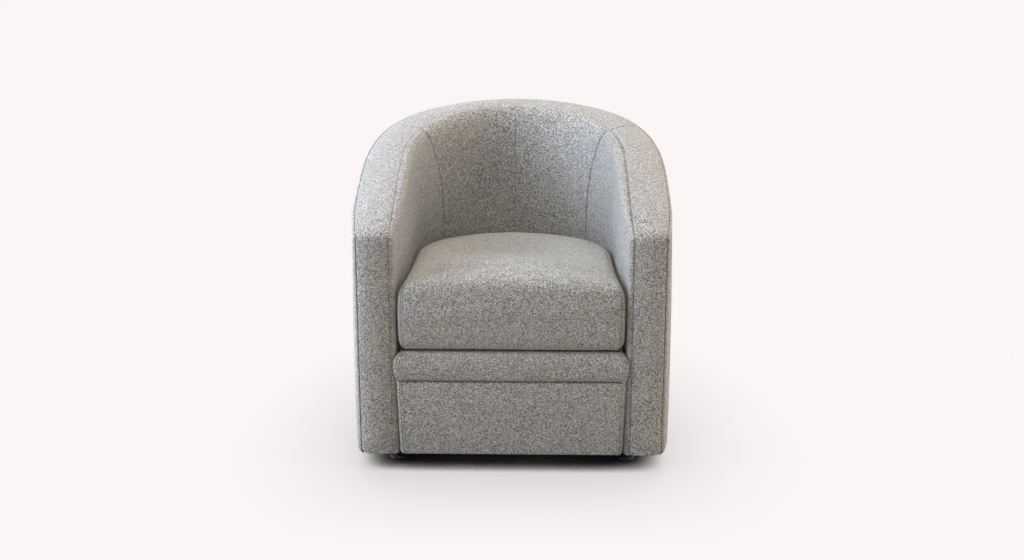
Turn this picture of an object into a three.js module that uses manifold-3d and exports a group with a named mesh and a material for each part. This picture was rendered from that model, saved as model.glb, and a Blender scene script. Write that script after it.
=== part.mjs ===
// A swivel rocker: a barrel armchair that rocks on a sprung pivot and turns on a four-legged steel base.
// Millimetres, +Z up. The chair faces -Y, and "left" pieces are on the -X side, as the photograph shows them.
// The origin is on the floor under the middle of the chair.
// The swivel axis stands a little ahead of it, under the sitter.
import * as THREE from 'three';
import Module from 'manifold-3d';

const wasm = await Module();
wasm.setup();

// Clearances shared by every piece
const tinyGap = 0.3;
const softGap = 0.6;
const cutOverrun = 5;
const fuseDepth = 1;

// Overall form of the upholstered shell
const frontFaceY = -384;
const backY = 391;
const backFootSetIn = 7;
const backBottomY = backY - backFootSetIn;
const shellBottomHalfWidth = 389;
const topSetIn = 12;
const shellTopHalfWidth = shellBottomHalfWidth - topSetIn;
const armFrontSetIn = 18;
const shellFrontHalfWidth = shellBottomHalfWidth - armFrontSetIn;
const shellWidestY = -141;
const sideBelly = 5;
const bellyRampRun = 80;
const shellBottomZ = 50;
const backTopZ = 788;

// Inside of the shell, around the sitter
const armThickness = 132;
const armFrontThickness = 94;
const seatTopFlare = 3;
const backThicknessAtSeat = 196;
const backThicknessAtHead = 106;
const seatHalfWidth = shellBottomHalfWidth - armThickness;
const seatTopHalfWidth = seatHalfWidth + seatTopFlare;
const seatFrontHalfWidth = shellFrontHalfWidth - armFrontThickness;
const seatNarrowestY = -60;
const seatBackY = backY - backThicknessAtSeat;
const headBackY = backY - backThicknessAtHead;

// Fullness of the plan curves (superellipse exponents),
// and how far the outside lags behind the inside at the corners
const insideFullness = 2;
const insideTopFullness = 1.94;
const outsideFullness = 2.5;
const outsideTopFullness = 2.3;
const frontSwellPower = 4;
const frontNarrowPower = 2;
const cornerLag = 0.047;
const cornerLagStart = 0.2;

// Edge of the shell: up the arm front, over the bend and along the sloping arm to the middle of the back
const armTopZ = 618;
const bendHeight = 56;
const bendLip = 16;
const bendStartZ = armTopZ - bendHeight;
const bendControlZ = armTopZ - bendLip;
const bendEndRun = 42;
const slopeControlRunShare = 0.1437;
const slopeControlRise = 0.341;
const flatControlRunShare = 0.6378;

// Upholstery
const bandThickness = 20;
const bandCrown = 6;
const bandSeamDip = 1.5;
const bandCrownPower = 2.4;
const bandEndTuck = 6;
const bandEndLength = 5;
const padThickness = 22;
// The inside pads thin out towards the arm fronts
const padFrontThickness = 11;
const padTaperStartRun = 50;
const padTaperRun = 200;
function padDepth(run) {
  const share = THREE.MathUtils.clamp((run - padTaperStartRun) / padTaperRun, 0, 1);
  return THREE.MathUtils.lerp(padFrontThickness, padThickness, share);
}
const padSeamThickness = 3;
const coverThickness = 6;
const coverSeamThickness = 2;
const bandSeamShare = 0.608;
const panelSeamLowShare = 0.71;
const panelSeamBelowTop = 31;
const panelSeamEndZ = backTopZ - panelSeamBelowTop;
const panelSeamPower = 3;

// Seat: frame, springs, deck, loose cushion and the padded front under it
const seatRailTopZ = 296;
const seatRailDepth = 54;
const boardThickness = 22;
const frameBehindFront = 21;
const springWireRadius = 2;
const springBed = 6;
const deckThickness = 9;
const deckBottomZ = seatRailTopZ + springBed;
const deckTopZ = deckBottomZ + deckThickness;
const deckEdgeGap = 1.5;
const armPadBottomZ = deckBottomZ - fuseDepth;
const cushionOverhang = 9;
const cushionThickness = 150.7;
const cushionCrown = 22;
const cushionBottomZ = deckTopZ + tinyGap;
const cushionEdgeZ = cushionBottomZ + cushionThickness;
const cushionCrownZ = cushionEdgeZ + cushionCrown;
const cushionSideGap = 2.5;
const cushionFrontY = frontFaceY - cushionOverhang;
const leanBelowCushion = 22;
const leanStartZ = cushionEdgeZ - leanBelowCushion;
const panelThickness = 24;
const rollThickness = 27;
const rollDepth = 73;
const creaseZ = deckTopZ - rollDepth;
const creaseDepth = 8;
const panelSideGap = 3;
const panelHalfWidth = seatFrontHalfWidth - panelSideGap;
const panelNarrowing = 5;
const wrapSetIn = 8;
const wrapHalfWidth = panelHalfWidth - wrapSetIn;
const wrapDepth = 52;
const panelEndRecess = 12;

// Wooden frame
const bottomRailZ = 60;
const bottomRailHeight = 53;
const bottomRailTopZ = bottomRailZ + bottomRailHeight;
const frameInset = 2;

// Mechanism heights, from the floor up
const glideHeight = 10;
const glideRadius = 25;
const glideSideSetIn = 106;
const glideFrontSetIn = 102;
const glideX = shellBottomHalfWidth - glideSideSetIn;
const glideFrontY = frontFaceY + glideFrontSetIn;
const axisY = -40;
const hubPlateZ = 38.3;
const hubPlateThickness = 5;
const pivotZ = 88;
const yokeBaseZ = 58;
const flangeThickness = 5;
const flangeZ = bottomRailTopZ - flangeThickness;

const meshes = new THREE.Group();

function material(color, roughness, metalness = 0) {
  return new THREE.MeshStandardMaterial({ color, roughness, metalness });
}

const upholstery = () => material(0xa7a6a1, 0.95);
const lining = () => material(0x2b2c2e, 0.9);
const timber = () => material(0xb79363, 0.7);
const blackSteel = () => material(0x26272a, 0.45, 0.8);
const zincSteel = () => material(0xb9bcc0, 0.35, 1);
const rubberBlack = () => material(0x1b1b1c, 0.85);
const foam = () => material(0xe9dfc0, 0.95);

// Closed solids from rows of rings. Every ring has as many points, and the two end rings are capped.
function ringsToGeometry(rings, capShape) {
  const positions = [];
  const indices = [];
  const count = rings[0].length;
  for (const ring of rings) for (const p of ring) positions.push(p.x, p.y, p.z);
  for (let i = 0; i + 1 < rings.length; i++) {
    for (let j = 0; j < count; j++) {
      const a = i * count + j;
      const b = i * count + ((j + 1) % count);
      indices.push(a, b, b + count, a, b + count, a + count);
    }
  }
  const shape = capShape.map((p) => new THREE.Vector2(p.x, p.y));
  const faces = THREE.ShapeUtils.triangulateShape(shape, []);
  const last = (rings.length - 1) * count;
  const turned = THREE.ShapeUtils.area(shape) < 0;
  for (const [a, b, c] of faces) {
    if (turned) {
      indices.push(a, b, c, last + a, last + c, last + b);
    } else {
      indices.push(a, c, b, last + a, last + b, last + c);
    }
  }
  return outward(positions, indices);
}

function outward(positions, indices) {
  let volume = 0;
  const a = new THREE.Vector3();
  const b = new THREE.Vector3();
  const c = new THREE.Vector3();
  for (let i = 0; i < indices.length; i += 3) {
    a.fromArray(positions, indices[i] * 3);
    b.fromArray(positions, indices[i + 1] * 3);
    c.fromArray(positions, indices[i + 2] * 3);
    volume += a.dot(b.cross(c));
  }
  const geometry = new THREE.BufferGeometry();
  geometry.setAttribute('position', new THREE.Float32BufferAttribute(positions, 3));
  geometry.setIndex(volume < 0 ? indices.reverse() : indices);
  return geometry;
}

function mirrorX(geometry) {
  const copy = geometry.clone();
  copy.scale(-1, 1, 1);
  copy.setIndex([...copy.index.array].reverse());
  return copy;
}

function toSolid(geometry) {
  const position = geometry.getAttribute('position');
  const corners = new Map();
  const vertices = [];
  const remap = [];
  for (let i = 0; i < position.count; i++) {
    const p = [position.getX(i), position.getY(i), position.getZ(i)];
    const key = p.map((value) => Math.round(value * 1e4)).join();
    if (!corners.has(key)) {
      corners.set(key, vertices.length / 3);
      vertices.push(...p);
    }
    remap.push(corners.get(key));
  }
  const source = geometry.index ? [...geometry.index.array] : remap.map((_, i) => i);
  const triangles = [];
  for (let i = 0; i < source.length; i += 3) {
    const [a, b, c] = [remap[source[i]], remap[source[i + 1]], remap[source[i + 2]]];
    if (a !== b && b !== c && c !== a) triangles.push(a, b, c);
  }
  const mesh = new wasm.Mesh({
    numProp: 3, vertProperties: Float32Array.from(vertices), triVerts: Uint32Array.from(triangles),
  });
  return new wasm.Manifold(mesh);
}

function fromSolid(solid) {
  const mesh = solid.getMesh();
  const geometry = new THREE.BufferGeometry();
  const points = new Float32Array(mesh.numVert * 3);
  for (let i = 0; i < mesh.numVert; i++) {
    for (let k = 0; k < 3; k++) points[i * 3 + k] = mesh.vertProperties[i * mesh.numProp + k];
  }
  geometry.setAttribute('position', new THREE.Float32BufferAttribute(points, 3));
  geometry.setIndex([...mesh.triVerts]);
  return geometry;
}

function joined(...geometries) {
  return fromSolid(wasm.Manifold.union(geometries.map(toSolid)));
}

function cut(geometry, ...cutters) {
  return fromSolid(toSolid(geometry).subtract(wasm.Manifold.union(cutters.map(toSolid))));
}

function node(name, geometry, finish) {
  const mesh = new THREE.Mesh(geometry, finish);
  mesh.name = name;
  meshes.add(mesh);
  return mesh;
}

// Pieces of the mechanism are drawn round the swivel axis and then moved to it
function mechanismNode(name, geometry, finish) {
  return node(name, geometry.translate(0, axisY, 0), finish);
}

function pair(name, geometry, finish) {
  node(`${name}_right`, geometry, finish());
  node(`${name}_left`, mirrorX(geometry), finish());
}

function boxBetween(x0, x1, y0, y1, z0, z1) {
  const box = new THREE.BoxGeometry(x1 - x0, y1 - y0, z1 - z0);
  return box.translate((x0 + x1) / 2, (y0 + y1) / 2, (z0 + z1) / 2);
}

function uprightCylinder(radius, z0, z1, sides, topRadius = radius) {
  const cylinder = new THREE.CylinderGeometry(topRadius, radius, z1 - z0, sides);
  return cylinder.rotateX(Math.PI / 2).translate(0, 0, (z0 + z1) / 2);
}

function crosswiseCylinder(radius, x0, x1, sides) {
  const cylinder = new THREE.CylinderGeometry(radius, radius, x1 - x0, sides);
  return cylinder.rotateZ(Math.PI / 2).translate((x0 + x1) / 2, 0, pivotZ);
}

// Plan curves of the wall, read by share of their length from the arm front to the middle of the back
function planCurve({ halfWidth, frontHalfWidth, widestY, endY, fullness, frontPower }) {
  const frontSteps = 40;
  const turnSteps = 260;
  const points = [];
  for (let i = 0; i < frontSteps; i++) {
    const y = THREE.MathUtils.lerp(frontFaceY, widestY, i / frontSteps);
    const share = (widestY - y) / (widestY - frontFaceY);
    points.push(new THREE.Vector2(halfWidth - (halfWidth - frontHalfWidth) * share ** frontPower, y));
  }
  for (let i = 0; i <= turnSteps; i++) {
    const angle = (Math.PI / 2) * (i / turnSteps);
    const x = halfWidth * Math.max(Math.cos(angle), 0) ** (2 / fullness);
    const y = widestY + (endY - widestY) * Math.sin(angle) ** (2 / fullness);
    points.push(new THREE.Vector2(i < turnSteps ? x : 0, y));
  }
  const lengths = [0];
  for (let i = 1; i < points.length; i++) lengths.push(lengths[i - 1] + points[i].distanceTo(points[i - 1]));
  const total = lengths.at(-1);
  const at = (share) => {
    const wanted = THREE.MathUtils.clamp(share, 0, 1) * total;
    const i = Math.max(lengths.findIndex((length) => length >= wanted), 1);
    const k = (wanted - lengths[i - 1]) / (lengths[i] - lengths[i - 1]);
    const p = points[i - 1].clone().lerp(points[i], k);
    if (share < 0) p.y += share * total;
    return p;
  };
  return { at, total };
}

const insideLow = planCurve({
  halfWidth: seatHalfWidth, frontHalfWidth: seatFrontHalfWidth, widestY: seatNarrowestY,
  endY: seatBackY, fullness: insideFullness, frontPower: frontNarrowPower,
});
const insideTop = planCurve({
  halfWidth: seatTopHalfWidth, frontHalfWidth: seatFrontHalfWidth, widestY: seatNarrowestY,
  endY: headBackY, fullness: insideTopFullness, frontPower: frontNarrowPower,
});
const outsideLow = planCurve({
  halfWidth: shellBottomHalfWidth, frontHalfWidth: shellFrontHalfWidth, widestY: shellWidestY,
  endY: backBottomY, fullness: outsideFullness, frontPower: frontSwellPower,
});
const outsideTop = planCurve({
  halfWidth: shellTopHalfWidth, frontHalfWidth: shellFrontHalfWidth, widestY: shellWidestY,
  endY: backY, fullness: outsideTopFullness, frontPower: frontSwellPower,
});
const wallRun = (insideTop.total + outsideTop.total) / 2;

// Wall coordinates: run goes from the arm front round to the other arm front, depth goes into the wall
function wallPoint(run, depth, z, fromOutside = false) {
  const beyond = run > wallRun;
  const share = (beyond ? 2 * wallRun - run : run) / wallRun;
  const lagShare = THREE.MathUtils.clamp((share - cornerLagStart) / (1 - cornerLagStart), 0, 1);
  const outsideShare = share - cornerLag * Math.sin(Math.PI * lagShare) ** 2;
  const insideLean = THREE.MathUtils.clamp((z - leanStartZ) / (backTopZ - leanStartZ), 0, 1);
  const height = THREE.MathUtils.clamp((z - shellBottomZ) / (backTopZ - shellBottomZ), 0, 1);
  const inside = insideLow.at(share).lerp(insideTop.at(share), insideLean);
  const outside = outsideLow.at(outsideShare).lerp(outsideTop.at(outsideShare), height);
  const across = outside.clone().sub(inside).normalize();
  const ramp = THREE.MathUtils.clamp((share * wallRun) / bellyRampRun, 0, 1);
  outside.addScaledVector(across, 4 * sideBelly * height * (1 - height) * ramp);
  const base = fromOutside ? outside.addScaledVector(across, -depth) : inside.addScaledVector(across, depth);
  return new THREE.Vector3(beyond ? -base.x : base.x, base.y, z);
}

function wallThickness(run, z) {
  return wallPoint(run, 0, z).distanceTo(wallPoint(run, 0, z, true));
}

// The wall's edge, as a curve of run against height
const edgePath = new THREE.Path();
edgePath.moveTo(0, shellBottomZ);
edgePath.lineTo(0, bendStartZ);
edgePath.quadraticCurveTo(0, bendControlZ, bendEndRun, armTopZ);
const slopeControlZ = THREE.MathUtils.lerp(armTopZ, backTopZ, slopeControlRise);
edgePath.bezierCurveTo(
  slopeControlRunShare * wallRun, slopeControlZ, flatControlRunShare * wallRun, backTopZ, wallRun, backTopZ,
);
const edgeSamples = 400;
const edgePoints = edgePath.getSpacedPoints(edgeSamples);

function edgeDistance(run, z) {
  const folded = run > wallRun ? 2 * wallRun - run : run;
  let least = Infinity;
  for (let i = 1; i < edgePoints.length; i++) {
    const a = edgePoints[i - 1];
    const dx = edgePoints[i].x - a.x;
    const dz = edgePoints[i].y - a.y;
    const k = THREE.MathUtils.clamp(((folded - a.x) * dx + (z - a.y) * dz) / (dx * dx + dz * dz), 0, 1);
    least = Math.min(least, Math.hypot(folded - a.x - dx * k, z - a.y - dz * k));
  }
  return least;
}

function edgeHeight(run) {
  const folded = run > wallRun ? 2 * wallRun - run : run;
  const i = Math.max(edgePoints.findIndex((p) => p.x > folded), 1);
  if (folded >= wallRun - tinyGap) return backTopZ;
  const a = edgePoints[i - 1];
  const b = edgePoints[i];
  return THREE.MathUtils.lerp(a.y, b.y, (folded - a.x) / (b.x - a.x));
}

function edgeShareAt(run) {
  let low = 0;
  let high = 1;
  for (let i = 0; i < 40; i++) {
    const middle = (low + high) / 2;
    if (edgePath.getPointAt(middle).x < run) low = middle;
    else high = middle;
  }
  return (low + high) / 2;
}

// Sweeps a section of (depth, inset) points along the edge.
// Position runs 0 to 1 up to the middle of the back, and 1 to 2 beyond it.
function edgeSweep(stations, section) {
  const rings = stations.map((position, i) => {
    const share = position > 1 ? 2 - position : position;
    const p = edgePath.getPointAt(share);
    const tangent = edgePath.getTangentAt(share);
    const normal = new THREE.Vector2(tangent.y, -tangent.x);
    const beyond = position > 1;
    const ends = i === 0 || i === stations.length - 1;
    const runAt = (inset) => p.x + normal.x * inset;
    return section(wallThickness(p.x, p.y), ends, runAt).map(([depth, inset]) => {
      const run = runAt(inset);
      const z = p.y + normal.y * inset;
      return wallPoint(beyond ? 2 * wallRun - run : run, depth, z);
    });
  });
  const middle = section(wallThickness(wallRun / 2, backTopZ), true, () => wallRun / 2);
  const shape = middle.map(([x, y]) => new THREE.Vector2(x, y));
  return ringsToGeometry(rings, shape);
}

function bandSection(thickness, ends, runAt) {
  const innerAt = (inset) => padDepth(runAt(inset)) + softGap;
  const outer = thickness - coverThickness - softGap;
  const crownSteps = 6;
  const tuck = ends ? bandEndTuck : 0;
  const points = [];
  for (let i = 0; i <= crownSteps; i++) {
    const across = (2 * i) / crownSteps - 1;
    const crown = (bandCrown + bandSeamDip) * (1 - Math.abs(across) ** bandCrownPower) - bandSeamDip;
    const inset = tuck - crown;
    points.push([THREE.MathUtils.lerp(innerAt(inset), outer, i / crownSteps), inset]);
  }
  points.push([outer, bandThickness], [innerAt(bandThickness), bandThickness]);
  return points;
}

const edgeLength = edgePath.getLength();
const endStep = bandEndLength / edgeLength;

function between(start, end, steps) {
  return Array.from({ length: steps + 1 }, (_, i) => THREE.MathUtils.lerp(start, end, i / steps));
}

// Padded sheets on the wall: columns along the run, rows up to the edge,
// thinning towards the edge and the seams
function edgeRoll(distance, thickness, seamThickness) {
  if (distance >= thickness) return 0;
  const round = thickness - Math.sqrt(thickness ** 2 - (thickness - distance) ** 2);
  return Math.min(round, thickness - seamThickness);
}

function wallSheet({ columns, rows, edgeRows, thicknessAt, seamThickness, bottom, fromOutside, ends }) {
  const rings = columns.map((columnRun) => {
    let top = backTopZ;
    for (let i = 0; i < 12; i++) top = edgeHeight(columnRun(top)) - tinyGap;
    const low = bottom(columnRun(shellBottomZ));
    const edge = thicknessAt(columnRun(top));
    const heights = [
      ...between(low, top - edge, rows), ...edgeRows.map((share) => top - edge * share),
    ];
    const skin = heights.map((z) => {
      const run = columnRun(z);
      const round = edgeRoll(edgeDistance(run, z), thicknessAt(run), seamThickness);
      const seam = ends(run, z);
      return wallPoint(run, Math.max(round, seam), z, fromOutside);
    });
    const core = heights.map((z) => {
      const run = columnRun(z);
      return wallPoint(run, thicknessAt(run), z, fromOutside);
    });
    return [...skin, ...core.reverse()];
  });
  const rowCount = rows + 1 + edgeRows.length;
  const shape = [];
  for (let i = 0; i < rowCount; i++) shape.push(new THREE.Vector2(0, i));
  for (let i = rowCount - 1; i >= 0; i--) shape.push(new THREE.Vector2(1, i));
  return ringsToGeometry(rings, shape);
}

function panelSeamRun(z) {
  const share = THREE.MathUtils.clamp((z - cushionEdgeZ) / (panelSeamEndZ - cushionEdgeZ), 0, 1);
  return wallRun * THREE.MathUtils.lerp(panelSeamLowShare, bandSeamShare, share ** panelSeamPower);
}

const edgeRowShares = [0.55, 0.2, 0];
const armPadLowEndRun = 20;
const armPadStepRun = 1.5;
const padFrontShares = [0.014, 0.11, 0.41];
const padFrontRuns = [
  ...padFrontShares.map((share) => share * padThickness), armPadLowEndRun, armPadLowEndRun + armPadStepRun,
  padTaperStartRun,
];
const padColumnShares = [0.16, 0.28, 0.4, 0.52, 0.64, 0.75, 0.84, 0.92, 0.985];
const seamTuckDepth = 5;
const seamTuckRun = 10;

function seamTuck(run, z, seamRun) {
  const near = THREE.MathUtils.clamp(1 - Math.abs(run - seamRun(z)) / seamTuckRun, 0, 1);
  return seamTuckDepth * near ** 2;
}

const armPadColumns = [
  ...padFrontRuns.map((run) => () => run),
  ...padColumnShares.map((share) => (z) => panelSeamRun(z) * share),
  (z) => panelSeamRun(z) - softGap / 2,
];
const sheetRows = 4;
const armPad = wallSheet({
  columns: armPadColumns, rows: sheetRows, edgeRows: edgeRowShares, thicknessAt: padDepth,
  seamThickness: padSeamThickness, fromOutside: false,
  bottom: (run) => (run < armPadLowEndRun + tinyGap ? shellBottomZ + tinyGap : armPadBottomZ),
  ends: (run, z) => seamTuck(run, z, panelSeamRun),
});
pair('inside_arm_pad', armPad, upholstery);

const backPadShares = [0, 0.025, 0.13, 0.27, 0.41, 0.55, 0.69, 0.83, 0.96];
const backPadHalf = backPadShares.map(
  (share) => (z) => THREE.MathUtils.lerp(panelSeamRun(z) + softGap / 2, wallRun, share),
);
const backPadFarHalf = [...backPadHalf].reverse().map((column) => (z) => 2 * wallRun - column(z));
const backPadColumns = [...backPadHalf, () => wallRun, ...backPadFarHalf];
const backPad = wallSheet({
  columns: backPadColumns, rows: sheetRows, edgeRows: edgeRowShares, thicknessAt: padDepth,
  seamThickness: padSeamThickness, bottom: () => armPadBottomZ, fromOutside: false,
  ends: (run, z) => {
    const folded = run > wallRun ? 2 * wallRun - run : run;
    return Math.max(seamTuck(folded, z, panelSeamRun), seamTuck(folded, z, () => wallRun));
  },
});
node('inside_back_pad', backPad, upholstery());

// Stations shared by the band and the outside covers: where the pads' columns meet the edge
function columnTopRun(column) {
  let z = backTopZ;
  for (let i = 0; i < 12; i++) z = edgeHeight(column(z));
  return column(z);
}
const armTopRuns = armPadColumns.map(columnTopRun);
const backTopRuns = [...backPadHalf.map(columnTopRun), wallRun];
function bothSides(half) {
  return [...half, ...half.slice(0, -1).reverse().map((run) => 2 * wallRun - run)];
}

const bendStartStation = edgeShareAt(tinyGap) - endStep / 2;
const bendEndStation = edgeShareAt(bendEndRun);
const slopeRuns = armTopRuns.filter((run) => run > bendEndRun + bandThickness);
const bandGap = softGap / 2 / edgeLength;
const armFaceSteps = 3;
const bendSteps = 6;
const armStations = [
  0, endStep, ...between(endStep, bendStartStation, armFaceSteps).slice(1),
  ...between(bendStartStation, bendEndStation, bendSteps).slice(1),
  ...slopeRuns.slice(0, -1).map(edgeShareAt), edgeShareAt(bandSeamShare * wallRun) - bandGap,
];
pair('band', edgeSweep(armStations, bandSection), upholstery);
const backHalfStations = [
  edgeShareAt(bandSeamShare * wallRun) + bandGap, ...backTopRuns.slice(1, -1).map(edgeShareAt), 1,
];
const backFarStations = backHalfStations.slice(0, -1).reverse().map((value) => 2 - value);
const backStations = [...backHalfStations, ...backFarStations];
node('band_back', edgeSweep(backStations, bandSection), upholstery());

const coverEdgeShares = [0.5, 0];
function outsideCover(runs) {
  return wallSheet({
    columns: runs.map((run) => () => run), rows: sheetRows, edgeRows: coverEdgeShares,
    thicknessAt: () => coverThickness, seamThickness: coverSeamThickness, fromOutside: true,
    bottom: () => shellBottomZ + tinyGap, ends: () => 0,
  });
}
pair('outside_arm_cover', outsideCover(armTopRuns), upholstery);
node('outside_back_cover', outsideCover(bothSides(backTopRuns)), upholstery());

// Wooden frame: posts behind the arm fronts, sawn rails under the bands, and a plywood ring round the bottom
const postDepthRun = 37;
const postShoulderBelowBend = 6;
const postBelowArmTop = 22;
const postShoulderZ = bendStartZ - postShoulderBelowBend;
const postTopZ = armTopZ - postBelowArmTop;
const railOutsideInset = 11;
const railInsideInset = 27;
const railThickness = 18;
const railGap = 1.2;
const ringWidth = 34;

function wallPrism(runs, depths, heights, fromOutside) {
  const rings = runs.map((run) => {
    const [near, far] = depths;
    const [low, high] = heights;
    return [
      wallPoint(run, near, low, fromOutside), wallPoint(run, far, low, fromOutside),
      wallPoint(run, far, high, fromOutside), wallPoint(run, near, high, fromOutside),
    ];
  });
  return ringsToGeometry(rings, unitSquare);
}

const unitSquare = [[0, 0], [1, 0], [1, 1], [0, 1]].map(([x, y]) => new THREE.Vector2(x, y));
function armPost() {
  const start = frameBehindFront;
  const end = frameBehindFront + postDepthRun;
  const near = padThickness + frameInset;
  const corners = [[start, near], [end, near], [end, -1], [start, -1]];
  const levels = [
    [bottomRailZ, bottomRailZ], [seatRailTopZ, seatRailTopZ], [postShoulderZ, postTopZ],
  ];
  const rings = levels.map(([frontZ, rearZ]) => corners.map(([run, depth]) => {
    const z = run === start ? frontZ : rearZ;
    const reach = depth < 0 ? wallThickness(run, z) - coverThickness - frameInset : depth;
    return wallPoint(run, reach, z);
  }));
  return ringsToGeometry(rings, unitSquare);
}
pair('arm_post', armPost(), timber);

function railSection(thickness) {
  const top = bandThickness + railGap;
  const outer = thickness - railOutsideInset;
  const foot = top + railThickness;
  return [[railInsideInset, top], [outer, top], [outer, foot], [railInsideInset, foot]];
}
const railJointShare = 0.6;
const railStart = edgeShareAt(bendEndRun + boardThickness / 2);
const railJoint = edgeShareAt(railJointShare * wallRun);
const armRailSteps = 10;
const topRailSteps = 8;
const armRail = edgeSweep(between(railStart, railJoint - tinyGap / edgeLength, armRailSteps), railSection);
pair('arm_rail', armRail, timber);
const topRailHalf = between(railJoint + tinyGap / edgeLength, 1, topRailSteps);
const topRailStations = [...topRailHalf, ...topRailHalf.slice(0, -1).reverse().map((value) => 2 - value)];
node('top_rail', edgeSweep(topRailStations, railSection), timber());

const ringStartRun = frameBehindFront + postDepthRun + tinyGap;
const ringSteps = 16;
const ringRuns = between(ringStartRun, wallRun, ringSteps);
const bottomRing = wallPrism(
  bothSides(ringRuns),
  [railOutsideInset, railOutsideInset + ringWidth], [bottomRailZ, bottomRailTopZ], true,
);
node('bottom_ring', bottomRing, timber());

// Straight boards of the seat frame
const railEndBesideSeat = 18.9;
const postInnerX = seatFrontHalfWidth + railEndBesideSeat;
const frontRailFrontY = frontFaceY + frameBehindFront;
const frontRailRearY = frontRailFrontY + boardThickness;
const seatRailBottomZ = seatRailTopZ - seatRailDepth;
const sideRailSetIn = 28;
const sideRailX = seatHalfWidth - sideRailSetIn;
const sideRailOuterX = sideRailX + boardThickness;
const backPostSetBack = 10;
const backPostY = seatBackY + backPostSetBack;
const backPostDepth = 30;
const backPostBelowTop = 66;
const backPostTopZ = backTopZ - backPostBelowTop;
const backRailAhead = 45;
const seatBackRailY = seatBackY - backRailAhead;
node('front_seat_rail', boxBetween(
  -postInnerX, postInnerX, frontRailFrontY, frontRailRearY, seatRailBottomZ, seatRailTopZ,
), timber());
node('front_bottom_rail', boxBetween(
  -postInnerX, postInnerX, frontRailFrontY, frontRailRearY, bottomRailZ, bottomRailTopZ,
), timber());
pair('side_seat_rail', boxBetween(
  sideRailX, sideRailOuterX, frontRailRearY, backPostY, seatRailBottomZ, seatRailTopZ,
), timber);
node('back_seat_rail', boxBetween(
  -sideRailX, sideRailX, seatBackRailY, seatBackRailY + boardThickness, seatRailBottomZ, seatRailTopZ,
), timber());
pair('back_post', boxBetween(
  sideRailX, sideRailOuterX, backPostY, backPostY + backPostDepth, bottomRailTopZ, backPostTopZ,
), timber);

const mountingRailSetIn = 34;
const mountingRailHalfLength = shellBottomHalfWidth - mountingRailSetIn;
const mountingRailNearY = 56;
const mountingRailWidth = 56;
const mountingRailFarY = mountingRailNearY + mountingRailWidth;
const mountingRail = boxBetween(
  -mountingRailHalfLength, mountingRailHalfLength, axisY + mountingRailNearY, axisY + mountingRailFarY,
  bottomRailTopZ, bottomRailTopZ + boardThickness,
);
node('mounting_rail_back', mountingRail, timber());
const railStepBack = mountingRailNearY + mountingRailFarY;
node('mounting_rail_front', mountingRail.clone().translate(0, -railStepBack, 0), timber());

// Wire forms: a round wire along a row of points, capped at both ends
function wireAlong(points, radius, sides) {
  const curvePoints = points.map((p) => new THREE.Vector3(...p));
  const tangentAt = (i) => {
    const from = curvePoints[Math.max(i - 1, 0)];
    const to = curvePoints[Math.min(i + 1, curvePoints.length - 1)];
    return to.clone().sub(from).normalize();
  };
  let normal = new THREE.Vector3(0, 0, 1);
  const rings = curvePoints.map((p, i) => {
    const tangent = tangentAt(i);
    normal = normal.clone().addScaledVector(tangent, -normal.dot(tangent)).normalize();
    const side = tangent.clone().cross(normal);
    return Array.from({ length: sides }, (_, k) => {
      const angle = (2 * Math.PI * k) / sides;
      const rise = radius * Math.cos(angle);
      return p.clone().addScaledVector(normal, rise).addScaledVector(side, radius * Math.sin(angle));
    });
  });
  const shape = Array.from({ length: sides }, (_, k) => {
    const angle = (2 * Math.PI * k) / sides;
    return new THREE.Vector2(Math.cos(angle), Math.sin(angle));
  });
  return ringsToGeometry(rings, shape);
}

// Least gap between two turns of a wire, measured from point to point along it
const gapSubsteps = 6;
function leastTurnGap(points, radius, pointsPerTurn) {
  const fine = [];
  for (let i = 0; i + 1 < points.length; i++) {
    for (let k = 0; k < gapSubsteps; k++) {
      fine.push(new THREE.Vector3(...points[i]).lerp(new THREE.Vector3(...points[i + 1]), k / gapSubsteps));
    }
  }
  const apart = (pointsPerTurn * gapSubsteps) / 2;
  let least = Infinity;
  for (let i = 0; i < fine.length; i++) {
    for (let j = i + apart; j < fine.length; j++) least = Math.min(least, fine[i].distanceTo(fine[j]));
  }
  return least - 2 * radius;
}

// Zigzag seat springs from the front rail to the back rail
const zigzagReach = 21;
const zigzagStartY = frontRailFrontY + boardThickness / 2;
const zigzagEndY = seatBackRailY + boardThickness / 2;
const zigzagTurns = 7;
const zigzagPower = 0.62;
const zigzagZ = seatRailTopZ + springWireRadius + tinyGap;
const zigzagStepsPerTurn = 6;
const springSpacingShare = 0.4545;
const seatSpringSpacing = sideRailX * springSpacingShare;
function zigzagPoints(x) {
  const steps = zigzagTurns * zigzagStepsPerTurn;
  const points = [];
  for (let i = 0; i <= steps; i++) {
    const wave = Math.sin((2 * Math.PI * zigzagTurns * i) / steps);
    const swing = Math.sign(wave) * Math.abs(wave) ** zigzagPower;
    const y = THREE.MathUtils.lerp(zigzagStartY, zigzagEndY, i / steps);
    points.push([x + zigzagReach * swing, y, zigzagZ]);
  }
  return points;
}
const springPlaceShares = [-1.5, -0.5, 0.5, 1.5];
springPlaceShares.forEach((place, i) => {
  const spring = wireAlong(zigzagPoints(place * seatSpringSpacing), springWireRadius, 4);
  node(`seat_spring_${i + 1}`, spring, zincSteel());
});
const zigzagGap = leastTurnGap(zigzagPoints(0), springWireRadius, zigzagStepsPerTurn);
console.log(`seat spring, least gap between its runs: ${zigzagGap.toFixed(2)} mm`);

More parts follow.
